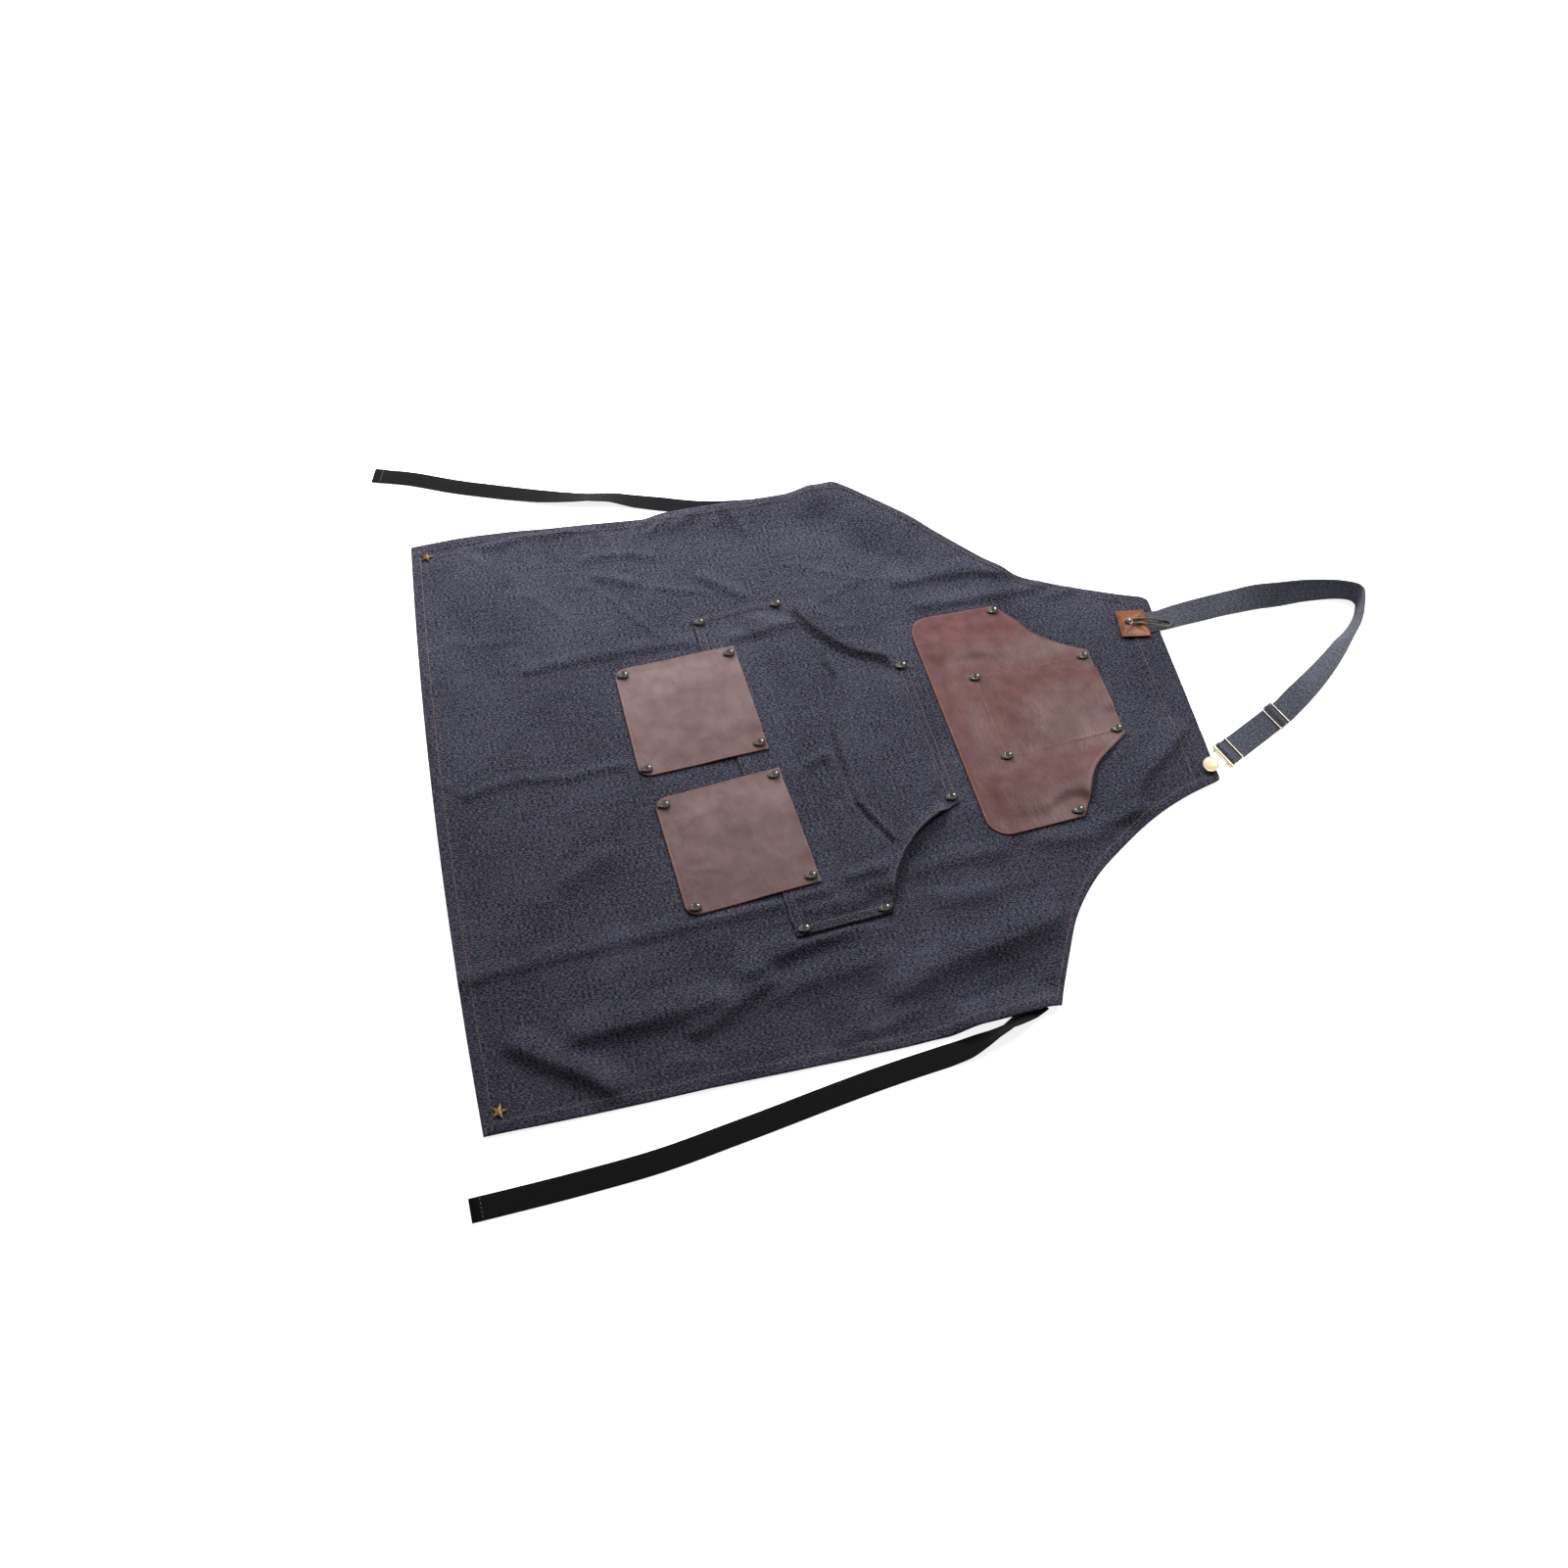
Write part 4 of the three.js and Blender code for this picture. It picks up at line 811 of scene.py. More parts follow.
def make_denim(name, twill, dark, light):
    """Indigo warp with paler flecks, streaks along the warp and a little fading."""
    material, tree, shader, weave = new_finish(name, twill, "UV", Ribs=900.0, Slant=0.6, Flecks=900.0)
    fleck = map_range(tree, weave["Fleck"], 0.415, 0.625, -0.06, 0.86)
    streak = map_range(tree, weave["Streak"], 0.32, 0.70, -0.08, 0.18)
    fade = map_range(tree, weave["Fade"], 0.30, 0.70, -0.10, 0.12)
    rib = map_range(tree, weave["Rib"], 0.0, 1.0, -0.05, 0.08)
    yarn = add_math(tree, "ADD", add_math(tree, "ADD", fleck, streak), add_math(tree, "ADD", fade, rib))
    tree.links.new(blend_colours(tree, yarn, dark, light), shader["Base Color"])
    tree.links.new(map_range(tree, weave["Fleck"], 0.3, 0.7, 0.82, 0.95), shader["Roughness"])
    shader["Sheen Weight"].default_value = 0.05
    shader["Sheen Roughness"].default_value = 0.5
    shader["Specular IOR Level"].default_value = 0.12
    bump(tree, shader, weave["Height"], 0.55, 0.00035)
    return material


def make_webbing(twill):
    sizes = {"Ribs": 700.0, "Slant": 1.0, "Flecks": 900.0}
    material, tree, shader, weave = new_finish("black_webbing", twill, "UV", **sizes)
    tree.links.new(blend_colours(tree, weave["Rib"], *WEBBING), shader["Base Color"])
    tree.links.new(map_range(tree, weave["Fleck"], 0.3, 0.7, 0.65, 0.85), shader["Roughness"])
    shader["Specular IOR Level"].default_value = 0.06
    bump(tree, shader, weave["Height"], 0.6, 0.0003)
    return material


def make_leather(name, grain, dark, light, rough):
    """Dyed leather, cloudy in its colour and in its shine."""
    material, tree, shader, hide = new_finish(name, grain, "UV", Pebbles=1100.0)
    clouds = add_math(tree, "ADD", hide["Cloud"], hide["Mottle"])
    cloudy = map_range(tree, clouds, 0.7, 1.3, 0.0, 1.0)
    dulled = map_range(tree, hide["Cloud"], 0.3, 0.7, rough + 0.08, rough - 0.06)
    tree.links.new(blend_colours(tree, cloudy, dark, light), shader["Base Color"])
    tree.links.new(dulled, shader["Roughness"])
    shader["Specular IOR Level"].default_value = 0.26
    bump(tree, shader, hide["Height"], 0.22, 0.0004)
    return material


def make_metal(name, tarnish, clean, dull, rough, clouds, coat):
    material, tree, shader, worn = new_finish(name, tarnish, "Object", Clouds=clouds)
    mask = map_range(tree, worn["Tarnish"], 0.35, 0.7, 0.0, 1.0)
    scuffed = map_range(tree, worn["Scuff"], 0.3, 0.7, rough - 0.05, rough + 0.1)
    tree.links.new(blend_colours(tree, mask, clean, dull), shader["Base Color"])
    tree.links.new(scuffed, shader["Roughness"])
    shader["Metallic"].default_value = 1
    shader["Coat Weight"].default_value = coat
    shader["Coat Roughness"].default_value = 0.06
    return material


def make_thread(name, twill, dark, light):
    material, tree, shader, weave = new_finish(name, twill, "Object", Ribs=1500.0, Slant=1.0)
    tree.links.new(blend_colours(tree, weave["Fleck"], dark, light), shader["Base Color"])
    shader["Roughness"].default_value = 0.7
    bump(tree, shader, weave["Height"], 0.4, 0.0002)
    return material


def make_finishes():
    twill, grain, tarnish = make_twill_group(), make_leather_group(), make_tarnish_group()
    makers = [
        (make_denim, twill, DENIMS), (make_leather, grain, LEATHERS),
        (make_metal, tarnish, METALS), (make_thread, twill, THREADS),
    ]
    finishes = {"webbing": make_webbing(twill)}
    for make, group, table in makers:
        for finish, (name, *values) in table.items():
            finishes[finish] = make(name, group, *values)
    return finishes


# Panel

def spread(length, low_steps, high_steps, spacing):
    """Steps along a length: close together at its ends and evenly spaced between."""
    low, high = low_steps[-1], length - high_steps[-1]
    count = max(2, round((high - low) / spacing))
    inner = np.linspace(low, high, count + 1)[1:-1]
    return np.concatenate([low_steps, inner, (length - high_steps)[::-1]])


def panel_rows(skirt_shares, bib_shares):
    """Far and near ends of the panel's rows, and how far the hem's bow lowers each."""
    ends = []
    for side in ("far", "near"):
        skirt = at_shares(edge_line(SKIRT, side), skirt_shares)
        bib = at_shares(edge_line(BIB, side), bib_shares)
        ends.append(np.vstack([skirt, bib]))
    bow = np.concatenate([HEM_BOW * (1 - np.asarray(skirt_shares)), np.zeros(len(bib_shares))])
    return *ends, bow


def panel_plan(far, near, bow, across):
    """Plan points at shares across rows of the panel."""
    x = far[:, :1] + (near - far)[:, :1] * across
    y = far[:, 1:] + (near - far)[:, 1:] * across
    return x, y - bow[:, None] * (1 - (2 * across - 1) ** 2)


def leather_outlines():
    rows = [(pocket["low"], pocket["top"]) for pocket in LEATHER_POCKETS.values()]
    return [np.array([low[:2], low[2:], top[2:], top[:2]]) for low, top in rows]


def pocket_outlines():
    """Outlines of all the pockets, with fewer points than their edges."""
    far_x, _, near_x, _ = CHEST_SIDE[0]
    hand, chest = (
        np.vstack([edge_line(sides, "far"), edge_line(wings, "far"),
                   edge_line(wings, "near")[::-1], edge_line(sides, "near")[::-1]])
        for sides, wings in ((HAND_SIDE, HAND_MOUTH), (CHEST_SIDE, CHEST_WING))
    )
    chest = np.vstack([[(far_x, CHEST_BOTTOM_Y)], chest, [(near_x, CHEST_BOTTOM_Y)]])
    return [hand[::6], chest[::4]] + leather_outlines()


def crumple(x, y):
    """Small wrinkles of the loose cloth, gone where a pocket is sewn on."""
    free = np.ones(np.shape(x))
    for outline in pocket_outlines():
        free = np.minimum(free, smoothstep(outside_distance(x, y, outline), 1, 10))
    tossed = 0.4 + 0.5 * smoothstep(x, 150, 280) + 0.4 * smoothstep(-x, 200, 320)
    tossed = tossed + 0.3 * smoothstep(y, 560, 700)
    slant_x, slant_y = x + 0.45 * y, y - 0.45 * x
    folded = 1 - np.abs(2 * soft_noise(slant_x, slant_y * 0.55, 46, 3) - 1)
    swell = soft_noise(x, y, 90, 11)
    ripple = soft_noise(slant_x, slant_y * 0.6, 17, 7)
    return free * (tossed * (1.2 * folded ** 2 + 1.2 * swell + 0.7 * ripple) + ridges(x, y, CREASES))


def make_panel(finishes):
    skirt = spread(SKIRT_HEIGHT, PANEL_EDGE_STEPS, np.array([0]), PANEL_GRID) / SKIRT_HEIGHT
    bib = spread(BIB_HEIGHT, np.array([0]), FACING_STEPS, PANEL_GRID)[1:] / BIB_HEIGHT
    far, near, bow = panel_rows(skirt, bib)
    from_top = np.concatenate([np.full(len(skirt), np.inf), (1 - bib) * BIB_HEIGHT])
    for ends, others, corner in ((far, near, BIB_CORNERS["far"]), (near, far, BIB_CORNERS["near"])):
        drop = np.clip(corner - from_top, 0, corner)
        inset = corner - np.sqrt(corner ** 2 - drop ** 2)
        ends += (others - ends) / np.linalg.norm(others - ends, axis=1)[:, None] * inset[:, None]
    widths = np.linalg.norm(near - far, axis=1)
    steps, last = PANEL_EDGE_STEPS, PANEL_EDGE_STEPS[-1]
    count = len(spread(widths[0], steps, steps, PANEL_GRID))
    even = np.linspace(0, 1, count - 2 * len(steps) + 2)[1:-1]
    distances = np.array([
        np.concatenate([steps, last + even * (width - 2 * last), (width - steps)[::-1]])
        for width in widths
    ])
    x, y = panel_plan(far, near, bow, distances / widths[:, None])
    from_hem = np.concatenate([skirt * SKIRT_HEIGHT, np.full(len(bib), np.inf)])[:, None]
    from_edge = np.minimum(np.minimum(distances, widths[:, None] - distances), from_hem)
    hemmed = 1 - smoothstep(from_edge, HEM_WIDTH, HEM_WIDTH + HEM_STEP)
    faced = 1 - smoothstep(from_top[:, None], FACING_WIDTH, FACING_WIDTH + HEM_STEP)
    doubled = np.maximum(hemmed, np.broadcast_to(faced, hemmed.shape))
    from_facing = from_top[:, None] - FACING_WIDTH + FACING_SEAM
    sewn = bell(from_edge - STITCH_INSET, SEAM_HALF) + bell(from_facing, SEAM_HALF)
    pucker = soft_noise(x + 0.4 * y, y - 0.4 * x, 8, 23) - 0.5
    near_seam = bell(from_edge - STITCH_INSET, PUCKER_REACH)
    under = ridges(x, y, FOLDS, breaks=0) + crumple(x, y)
    wall = DENIM + (HEM - DENIM) * doubled - SEAM_DEPTH * np.minimum(sewn, 1) + PUCKER * pucker * near_seam
    return sheet_piece("apron_panel_cloth", x, y, under, wall, finishes["denim"])


# Pockets

def puff(x, y, seams, studs, ramp):
    """How far a pocket stands off: nought along its seams and round its studs, one between them."""
    stand = np.ones(np.shape(x))
    for seam in seams:
        stand = stand * smoothstep(nearest_on_line(x, y, seam)[0] - SEAM_FLAT, 0, ramp)
    for stud_x, stud_y in studs:
        stand = stand * smoothstep(np.hypot(x - stud_x, y - stud_y) - STUD_FLAT, 0, ramp * 0.6)
    return stand


def table_rows(tables_and_counts):
    """Row ends through one table after another, evenly spaced along each."""
    far, near = [], []
    for table, count in tables_and_counts:
        shares = np.linspace(0, 1, count + 1)
        start = 0 if not far else 1
        far.append(at_shares(edge_line(table, "far"), shares)[start:])
        near.append(at_shares(edge_line(table, "near"), shares)[start:])
    return np.vstack(far), np.vstack(near)


def ruled_grid(far, near, edge_steps, count):
    """A grid between row ends, with close steps in from both ends."""
    widths = np.linalg.norm(near - far, axis=1)[:, None]
    inner = np.linspace(0, 1, count)[1:-1]
    last = edge_steps[-1]
    distances = np.concatenate([
        np.broadcast_to(edge_steps, (len(far), len(edge_steps))), last + inner * (widths - 2 * last),
        (widths - edge_steps)[:, ::-1],
    ], axis=1)
    share = distances / widths
    return far[:, :1] + (near - far)[:, :1] * share, far[:, 1:] + (near - far)[:, 1:] * share


def from_outline(x, y, far, near):
    """Distance to the outline through the row ends."""
    return nearest_on_line(x, y, np.vstack([far, near[::-1], far[:1]]))[0]


def stitch_groove(inside):
    """How deep the seam round a leather pocket draws the leather in."""
    return LEATHER_SEAM_DEPTH * bell(inside - LEATHER_STITCH_INSET, LEATHER_SEAM_HALF)


def make_hand_pocket(finishes):
    far, near = table_rows(zip((HAND_SIDE, HAND_MOUTH), HAND_ROWS))
    x, y = ruled_grid(far, near, HAND_EDGE_STEPS, HAND_COLUMNS)
    low, side, top = HAND_SIDE[0], HAND_MOUTH[0], HAND_MOUTH[-1]
    seams = [[low[:2], low[2:]], [low[:2], side[:2]], [low[2:], side[2:]], [top[:2], top[2:]], PRESSED_LINE]
    clear = np.ones(x.shape)
    for leather_outline in leather_outlines():
        clear = np.minimum(clear, smoothstep(outside_distance(x, y, leather_outline), 3, 9))
    pressed = smoothstep(y, PRESSED_LINE[0][1] - 2, PRESSED_LINE[0][1] + 4)
    stand = puff(x, y, seams, HAND_STUDS, HAND_RAMP)
    inside = from_outline(x, y, far, near)
    hem = 1 - smoothstep(inside, 8.5, 10)
    ruffled = 0.8 * soft_noise(x, y, 34, 31) + 0.5 * soft_noise(x, y, 14, 37)
    sewn_down = smoothstep(inside, 4, 14)
    under = DENIM + GAP + pressed * (HAND_LIFT * stand + ruffled * smoothstep(stand, 0, 0.4))
    under += clear * sewn_down * ridges(x, y, POCKET_CREASES)
    under = np.maximum(under, DENIM + GAP)
    free = smoothstep(stand, 0, 0.5)
    for mouth_side, curl in MOUTH_CURL.items():
        from_mouth = nearest_on_line(x, y, edge_line(HAND_MOUTH, mouth_side))[0]
        under += curl * free * (1 - smoothstep(from_mouth, 0, MOUTH_HEM))
    wall = POCKET_CLOTH + (POCKET_HEM - POCKET_CLOTH) * hem * clear
    return sheet_piece("hand_pocket_cloth", x, y, under, wall, finishes["denim"])


def rounded_low_rows(low, top, corner, steps):
    """Row ends of a four-cornered pocket whose two lowest corners are rounded."""
    low_far, low_near = np.array(low[:2], float), np.array(low[2:], float)
    top_far, top_near = np.array(top[:2], float), np.array(top[2:], float)
    height = np.linalg.norm(top_far - low_far)
    angles = np.radians(np.linspace(0, 90, 8))
    rise = np.concatenate([corner * (1 - np.cos(angles)), np.linspace(corner, height, steps + 1)[1:]])
    inset = np.concatenate([corner * (1 - np.sin(angles)), np.zeros(steps)])
    far = low_far + (top_far - low_far) * (rise / height)[:, None]
    near = low_near + (top_near - low_near) * (rise / height)[:, None]
    along = (near - far) / np.linalg.norm(near - far, axis=1)[:, None] * inset[:, None]
    return far + along, near - along


def leather_bed(x, y):
    """What a leather pocket lies on: the panel, stepping up onto the hand pocket's lower edge."""
    far_x, far_y, near_x, near_y = HAND_SIDE[0]
    edge = far_y + (near_y - far_y) * (x - far_x) / (near_x - far_x)
    return DENIM + GAP + (POCKET_CLOTH + GAP) * smoothstep(y - edge, -BED_RAMP[0], -BED_RAMP[1])


def make_leather_pocket(side, finishes):
    low, top = LEATHER_POCKETS[side]["low"], LEATHER_POCKETS[side]["top"]
    far, near = rounded_low_rows(low, top, LEATHER_CORNER, LEATHER_ROWS)
    x, y = ruled_grid(far, near, LEATHER_EDGE_STEPS, LEATHER_COLUMNS)
    seams = [[low[:2], low[2:]], [low[:2], top[:2]], [low[2:], top[2:]]]
    stand = puff(x, y, seams, LEATHER_STUDS[side], LEATHER_RAMP)
    seed = LEATHER_SEEDS[side]
    wavy = 0.3 * soft_noise(x + 0.6 * y, y - 0.6 * x, 44, seed) + 0.2 * soft_noise(x, y, 15, seed + 1)
    drawn = wavy + LEATHER_CREASE_SHARE * ridges(x, y, LEATHER_CREASES)
    under = leather_bed(x, y) + LEATHER_LIFT * stand + drawn * smoothstep(stand, 0, 0.5)
    wall = LEATHER - stitch_groove(from_outline(x, y, far, near))
    # The pocket leather's colours carry painted sheen as well as the leather's own tone
    return sheet_piece("leather_pocket_%s_hide" % side, x, y, under, wall, finishes["pocket_leather"])


def chest_corners():
    """The chest pocket's rounded lowest corners, from the bottom up."""
    far_x, far_y, near_x, near_y = CHEST_SIDE[0]
    angles = np.radians(np.linspace(0, 90, 9)[:-1])
    rise, inset = CHEST_CORNER * np.cos(angles), CHEST_CORNER * (1 - np.sin(angles))
    return np.column_stack([far_x + inset, far_y - rise]), np.column_stack([near_x - inset, near_y - rise])


def make_chest_pocket(finishes):
    low = CHEST_SIDE[0]
    corner_far, corner_near = chest_corners()
    far, near = table_rows(zip((CHEST_SIDE, CHEST_WING), CHEST_ROWS))
    far, near = np.vstack([corner_far, far]), np.vstack([corner_near, near])
    x, y = ruled_grid(far, near, LEATHER_EDGE_STEPS, CHEST_COLUMNS)
    corner_f, corner_n, top_f, top_n, inner_f, inner_n = CHEST_STUDS
    seams = [
        [low[:2], (low[0], corner_f[1])], [low[2:], (low[2], corner_n[1])],
        [(low[0] + CHEST_CORNER, CHEST_BOTTOM_Y), (low[2] - CHEST_CORNER, CHEST_BOTTOM_Y)],
        [inner_f, inner_n], [inner_f, top_f], [inner_n, top_n],
    ]
    stand = puff(x, y, seams, CHEST_STUDS, CHEST_RAMP)
    inside = from_outline(x, y, far, near)
    middle_seam = nearest_on_line(x, y, [top_f, inner_f, inner_n, top_n])[0]
    groove = stitch_groove(inside) + CHEST_SEAM_DEPTH * bell(middle_seam, SEAM_HALF)
    wavy = 2.1 * soft_noise(x + 0.3 * y, 0.5 * y, 34, 61) + 0.4 * soft_noise(x, y, 16, 67)
    under = DENIM + GAP + CHEST_LIFT * stand + wavy * smoothstep(stand, 0, 0.5)
    return sheet_piece("chest_pocket_hide", x, y, under, LEATHER - groove, finishes["leather"])


def make_tab(finishes):
    steps = np.linspace(-1, 1, TAB_COLUMNS)
    u, v = np.meshgrid(steps, steps)
    turn = math.radians(TAB["turn"])
    across, along = u * TAB["across"] / 2, v * TAB["along"] / 2
    x = TAB["x"] + across * math.cos(turn) - along * math.sin(turn)
    y = TAB["y"] + across * math.sin(turn) + along * math.cos(turn)
    to_seam = np.minimum(np.abs(np.abs(u) - np.abs(v)), TAB_SEAM - np.maximum(np.abs(u), np.abs(v)))
    pillow = np.sqrt(np.clip(to_seam / TAB_PILLOW, 0, 1))
    wall = LEATHER + TAB_PUFF * pillow
    return sheet_piece("strap_tab_hide", x, y, np.full(u.shape, TAB_BED), wall, finishes["tab_leather"])


# Straps and ties

def end_points(places):
    """Points at (along, height) places on the strap's straight end run."""
    along, height = np.array(places, float).T
    return np.column_stack([SLIDER_CENTRE + along[:, None] * END_LINE, height])


def arc_round(along, height, radius, from_angle, to_angle, steps):
    angles = np.radians(np.linspace(from_angle, to_angle, steps + 1))
    return [(along + radius * math.cos(a), height + radius * math.sin(a)) for a in angles]


def strap_end_line():
    """Over the slider's wrapped bar, round the buckle's middle bar, and back under to the slider."""
    run_up = [(-15, FLAT), (-SLIDER_HALF, FLAT), (-6.6, FLAT + 0.3), (-4.7, 2.8)]
    upper_run = [(along, UPPER) for along in (SLIDER_HALF, 15, 28, 40, 52, 64, BUCKLE_TOP_AT)]
    lower_run = [(along, FLAT) for along in (73, 55, 40, 25, 10)]
    outer = [(5.6, 3.4)] + upper_run + [(77, 2.9)]
    inner = [(78.6, 1.2)] + lower_run + [(4, 1.1)]
    return end_points(
        run_up + arc_round(0, SLIDER_MIDDLE_Z, OVER_WRAP, 165, 25, 12) + outer
        + arc_round(BUCKLE_MIDDLE_AT, BUCKLE_MIDDLE_Z, WRAP, 120, -90, WRAP_STEPS) + inner
        + arc_round(0, SLIDER_MIDDLE_Z, WRAP, -90, -280, WRAP_STEPS)
    )


def neck_strap_line():
    middles, across = banked_stations(NECK_STRAP, STRAP_WIDTH, STRAP)
    end = strap_end_line()
    end_across = np.broadcast_to(np.array([*END_ACROSS, 0]), end.shape)
    return np.vstack([middles, end]), np.vstack([across, end_across])


def make_neck_strap(finishes):
    middles, across = neck_strap_line()
    return ribbon_piece("neck_strap_cloth", middles, across, STRAP_WIDTH, STRAP, finishes["strap_denim"])


def make_tie(side, table, finishes):
    middles, across = banked_stations(table, TIE_WIDTH, TIE)
    return ribbon_piece("waist_tie_%s_webbing" % side, middles, across, TIE_WIDTH, TIE, finishes["webbing"],
                        end_wall=TIE_END, end_length=TIE_END_LENGTH)


# Stitches

def model_stitch():
    """One stitch, a unit long: its points and faces."""
    deselect_all()
    bpy.ops.mesh.primitive_uv_sphere_add(segments=6, ring_count=5, radius=0.5)
    stitch = bpy.context.object
    bpy.ops.object.mode_set(mode="EDIT")
    bpy.ops.mesh.select_all(action="SELECT")
    bpy.ops.transform.rotate(value=math.pi / 2, orient_axis="Y", center_override=(0, 0, 0))
    bpy.ops.object.mode_set(mode="OBJECT")
    points = np.array([tuple(v.co) for v in stitch.data.vertices])
    faces = [list(p.vertices) for p in stitch.data.polygons]
    bpy.data.objects.remove(stitch)
    return points, faces


def surface_of(piece):
    mesh = piece.data
    return BVHTree.FromPolygons([v.co for v in mesh.vertices], [p.vertices for p in mesh.polygons])


def laid_on(surface, plan_points):
    """Points and normals where plan points in millimetres fall on a surface."""
    points, normals = [], []
    for x, y in to_metres(np.column_stack([plan_points, np.zeros(len(plan_points))]))[:, :2]:
        hit, normal, _, _ = surface.ray_cast(Vector((x, y, LOOK_DOWN_FROM)), Vector((0, 0, -1)))
        if hit is not None:
            points.append(hit)
            normals.append(normal)
    return np.array(points), np.array(normals)


def sew(name, runs, stitch, material, pitch=STITCH_PITCH, length=STITCH_LENGTH):
    """Stitches along runs of points and normals, in metres, as one piece."""
    shape, faces = stitch
    vertices, all_faces = [], []
    for points, normals in runs:
        total = lengths_along(points)[-1]
        count = max(1, int(total / (pitch * MM)))
        starts = (np.arange(count) + 0.15) * total / count
        share = length * MM / total
        heads = at_shares(points, starts / total)
        tails = at_shares(points, np.minimum(starts / total + share, 1))
        ups = at_shares(np.hstack([points, normals]), (starts / total + share / 2).clip(0, 1))[:, 3:]
        for head, tail, up in zip(heads, tails, ups):
            ahead = tail - head
            reach = np.linalg.norm(ahead)
            if reach < 1e-6:
                continue
            ahead /= reach
            up = up - ahead * up.dot(ahead)
            up /= np.linalg.norm(up)
            side = np.cross(up, ahead)
            axes = np.stack([ahead * reach, side * THREAD * MM, up * THREAD * MM * 0.8])
            centre = (head + tail) / 2 + up * THREAD * MM * 0.15
            base = len(vertices) * len(shape)
            vertices.append(centre + shape @ axes)
            all_faces.extend([[base + k for k in face] for face in faces])
    placed = np.vstack(vertices)
    return mesh_piece(name, placed, all_faces, placed[:, :2], material)


def inset_line(points, inset):
    """A line moved sideways to its left."""
    points = np.asarray(points, float)
    run = np.gradient(points, axis=0)
    run /= np.linalg.norm(run, axis=1)[:, None]
    return points + np.column_stack([-run[:, 1], run[:, 0]]) * inset


def straight(start, end, step=2.0):
    start, end = np.array(start, float), np.array(end, float)
    count = max(2, int(np.linalg.norm(end - start) / step))
    return start + (end - start) * np.linspace(0, 1, count)[:, None]


def sew_panel(panel, stitch, finishes):
    surface = surface_of(panel)
    shares = np.linspace(0, 1, SEAM_POINTS)
    far, near, bow = panel_rows(shares, shares[1:])
    widths = np.linalg.norm(near - far, axis=1)[:, None]
    far_line = np.column_stack(panel_plan(far, near, bow, STITCH_INSET / widths))
    near_line = np.column_stack(panel_plan(far, near, bow, 1 - STITCH_INSET / widths))
    facing = 1 - (FACING_WIDTH - FACING_SEAM) / BIB_HEIGHT
    far, near, bow = panel_rows([STITCH_INSET / SKIRT_HEIGHT], [facing])
    across = np.linspace(STITCH_INSET / HEM_LENGTH, 1 - STITCH_INSET / HEM_LENGTH, SEAM_POINTS)
    x, y = panel_plan(far, near, bow, across)
    hem_line, facing_line = np.column_stack([x[0], y[0]]), np.column_stack([x[1], y[1]])
    far_line = far_line[far_line[:, 1] < facing_line[0, 1] + SEAM_PAST_FACING]
    near_line = near_line[near_line[:, 1] < facing_line[-1, 1] + SEAM_PAST_FACING]
    runs = [laid_on(surface, line) for line in (far_line, near_line, hem_line, facing_line)]
    return sew("panel_stitches", runs, stitch, finishes["rust_thread"])


def sew_hand_pocket(pocket, stitch, finishes):
    surface = surface_of(pocket)
    low, side, top = HAND_SIDE[0], HAND_MOUTH[0], HAND_MOUTH[-1]
    edges = [(low[:2], low[2:]), (low[2:], side[2:]), (side[:2], low[:2]), (top[2:], top[:2])]
    seams = [inset_line(straight(start, end), inset)[3:-3] for inset in HAND_INSETS for start, end in edges]
    mouths = edge_line(HAND_MOUTH, "near"), edge_line(HAND_MOUTH, "far")[::-1]
    shares = np.linspace(0.03, 0.97, 90)
    mouth_seams = [inset_line(at_shares(mouth, shares), HAND_INSETS[0]) for mouth in mouths]
    return [
        sew(name, [laid_on(surface, line) for line in lines], stitch, finishes["tan_thread"])
        for name, lines in (("hand_pocket_stitches", seams), ("pocket_mouth_stitches", mouth_seams))
    ]


def sew_leather(pockets, chest, stitch, finishes):
    runs = []
    for side, pocket in pockets.items():
        low, top = LEATHER_POCKETS[side]["low"], LEATHER_POCKETS[side]["top"]
        far, near = rounded_low_rows(low, top, LEATHER_CORNER, 30)
        outline = at_shares(np.vstack([far[::-1], near]), np.linspace(0.01, 0.99, 260))
        runs.append(laid_on(surface_of(pocket), inset_line(outline, LEATHER_STITCH_INSET)))
    surface = surface_of(chest)
    corner_far, corner_near = chest_corners()
    sides = edge_line(CHEST_SIDE, "far")[::-1], edge_line(CHEST_SIDE, "near")
    outline = np.vstack([sides[0], corner_far[::-1], corner_near, sides[1]])
    outline = at_shares(outline, np.linspace(0.01, 0.99, 300))
    runs.append(laid_on(surface, inset_line(outline, LEATHER_STITCH_INSET)))
    _, _, top_f, top_n, inner_f, inner_n = CHEST_STUDS
    for start, end in ((top_f, inner_f), (inner_f, inner_n), (inner_n, top_n)):
        runs.append(laid_on(surface, straight(start, end)[4:-4]))
    return sew("leather_stitches", runs, stitch, finishes["leather_thread"], LEATHER_PITCH, LEATHER_STITCH)


def sew_strap(stitch, finishes):
    """Stitches along both edges of the strap's face, up to the turn that the slider hides."""
    middles, across = (line[:-WRAP_STEPS - 1] for line in neck_strap_line())
    face = ribbon_faces_up(middles, across)
    runs = []
    for side in (-1, 1):
        line = middles + across * side * (STRAP_WIDTH / 2 - STRAP_STITCH_INSET) + face * STRAP / 2
        runs.append((to_metres(line), face))
    return sew("neck_strap_stitches", runs, stitch, finishes["pale_thread"])


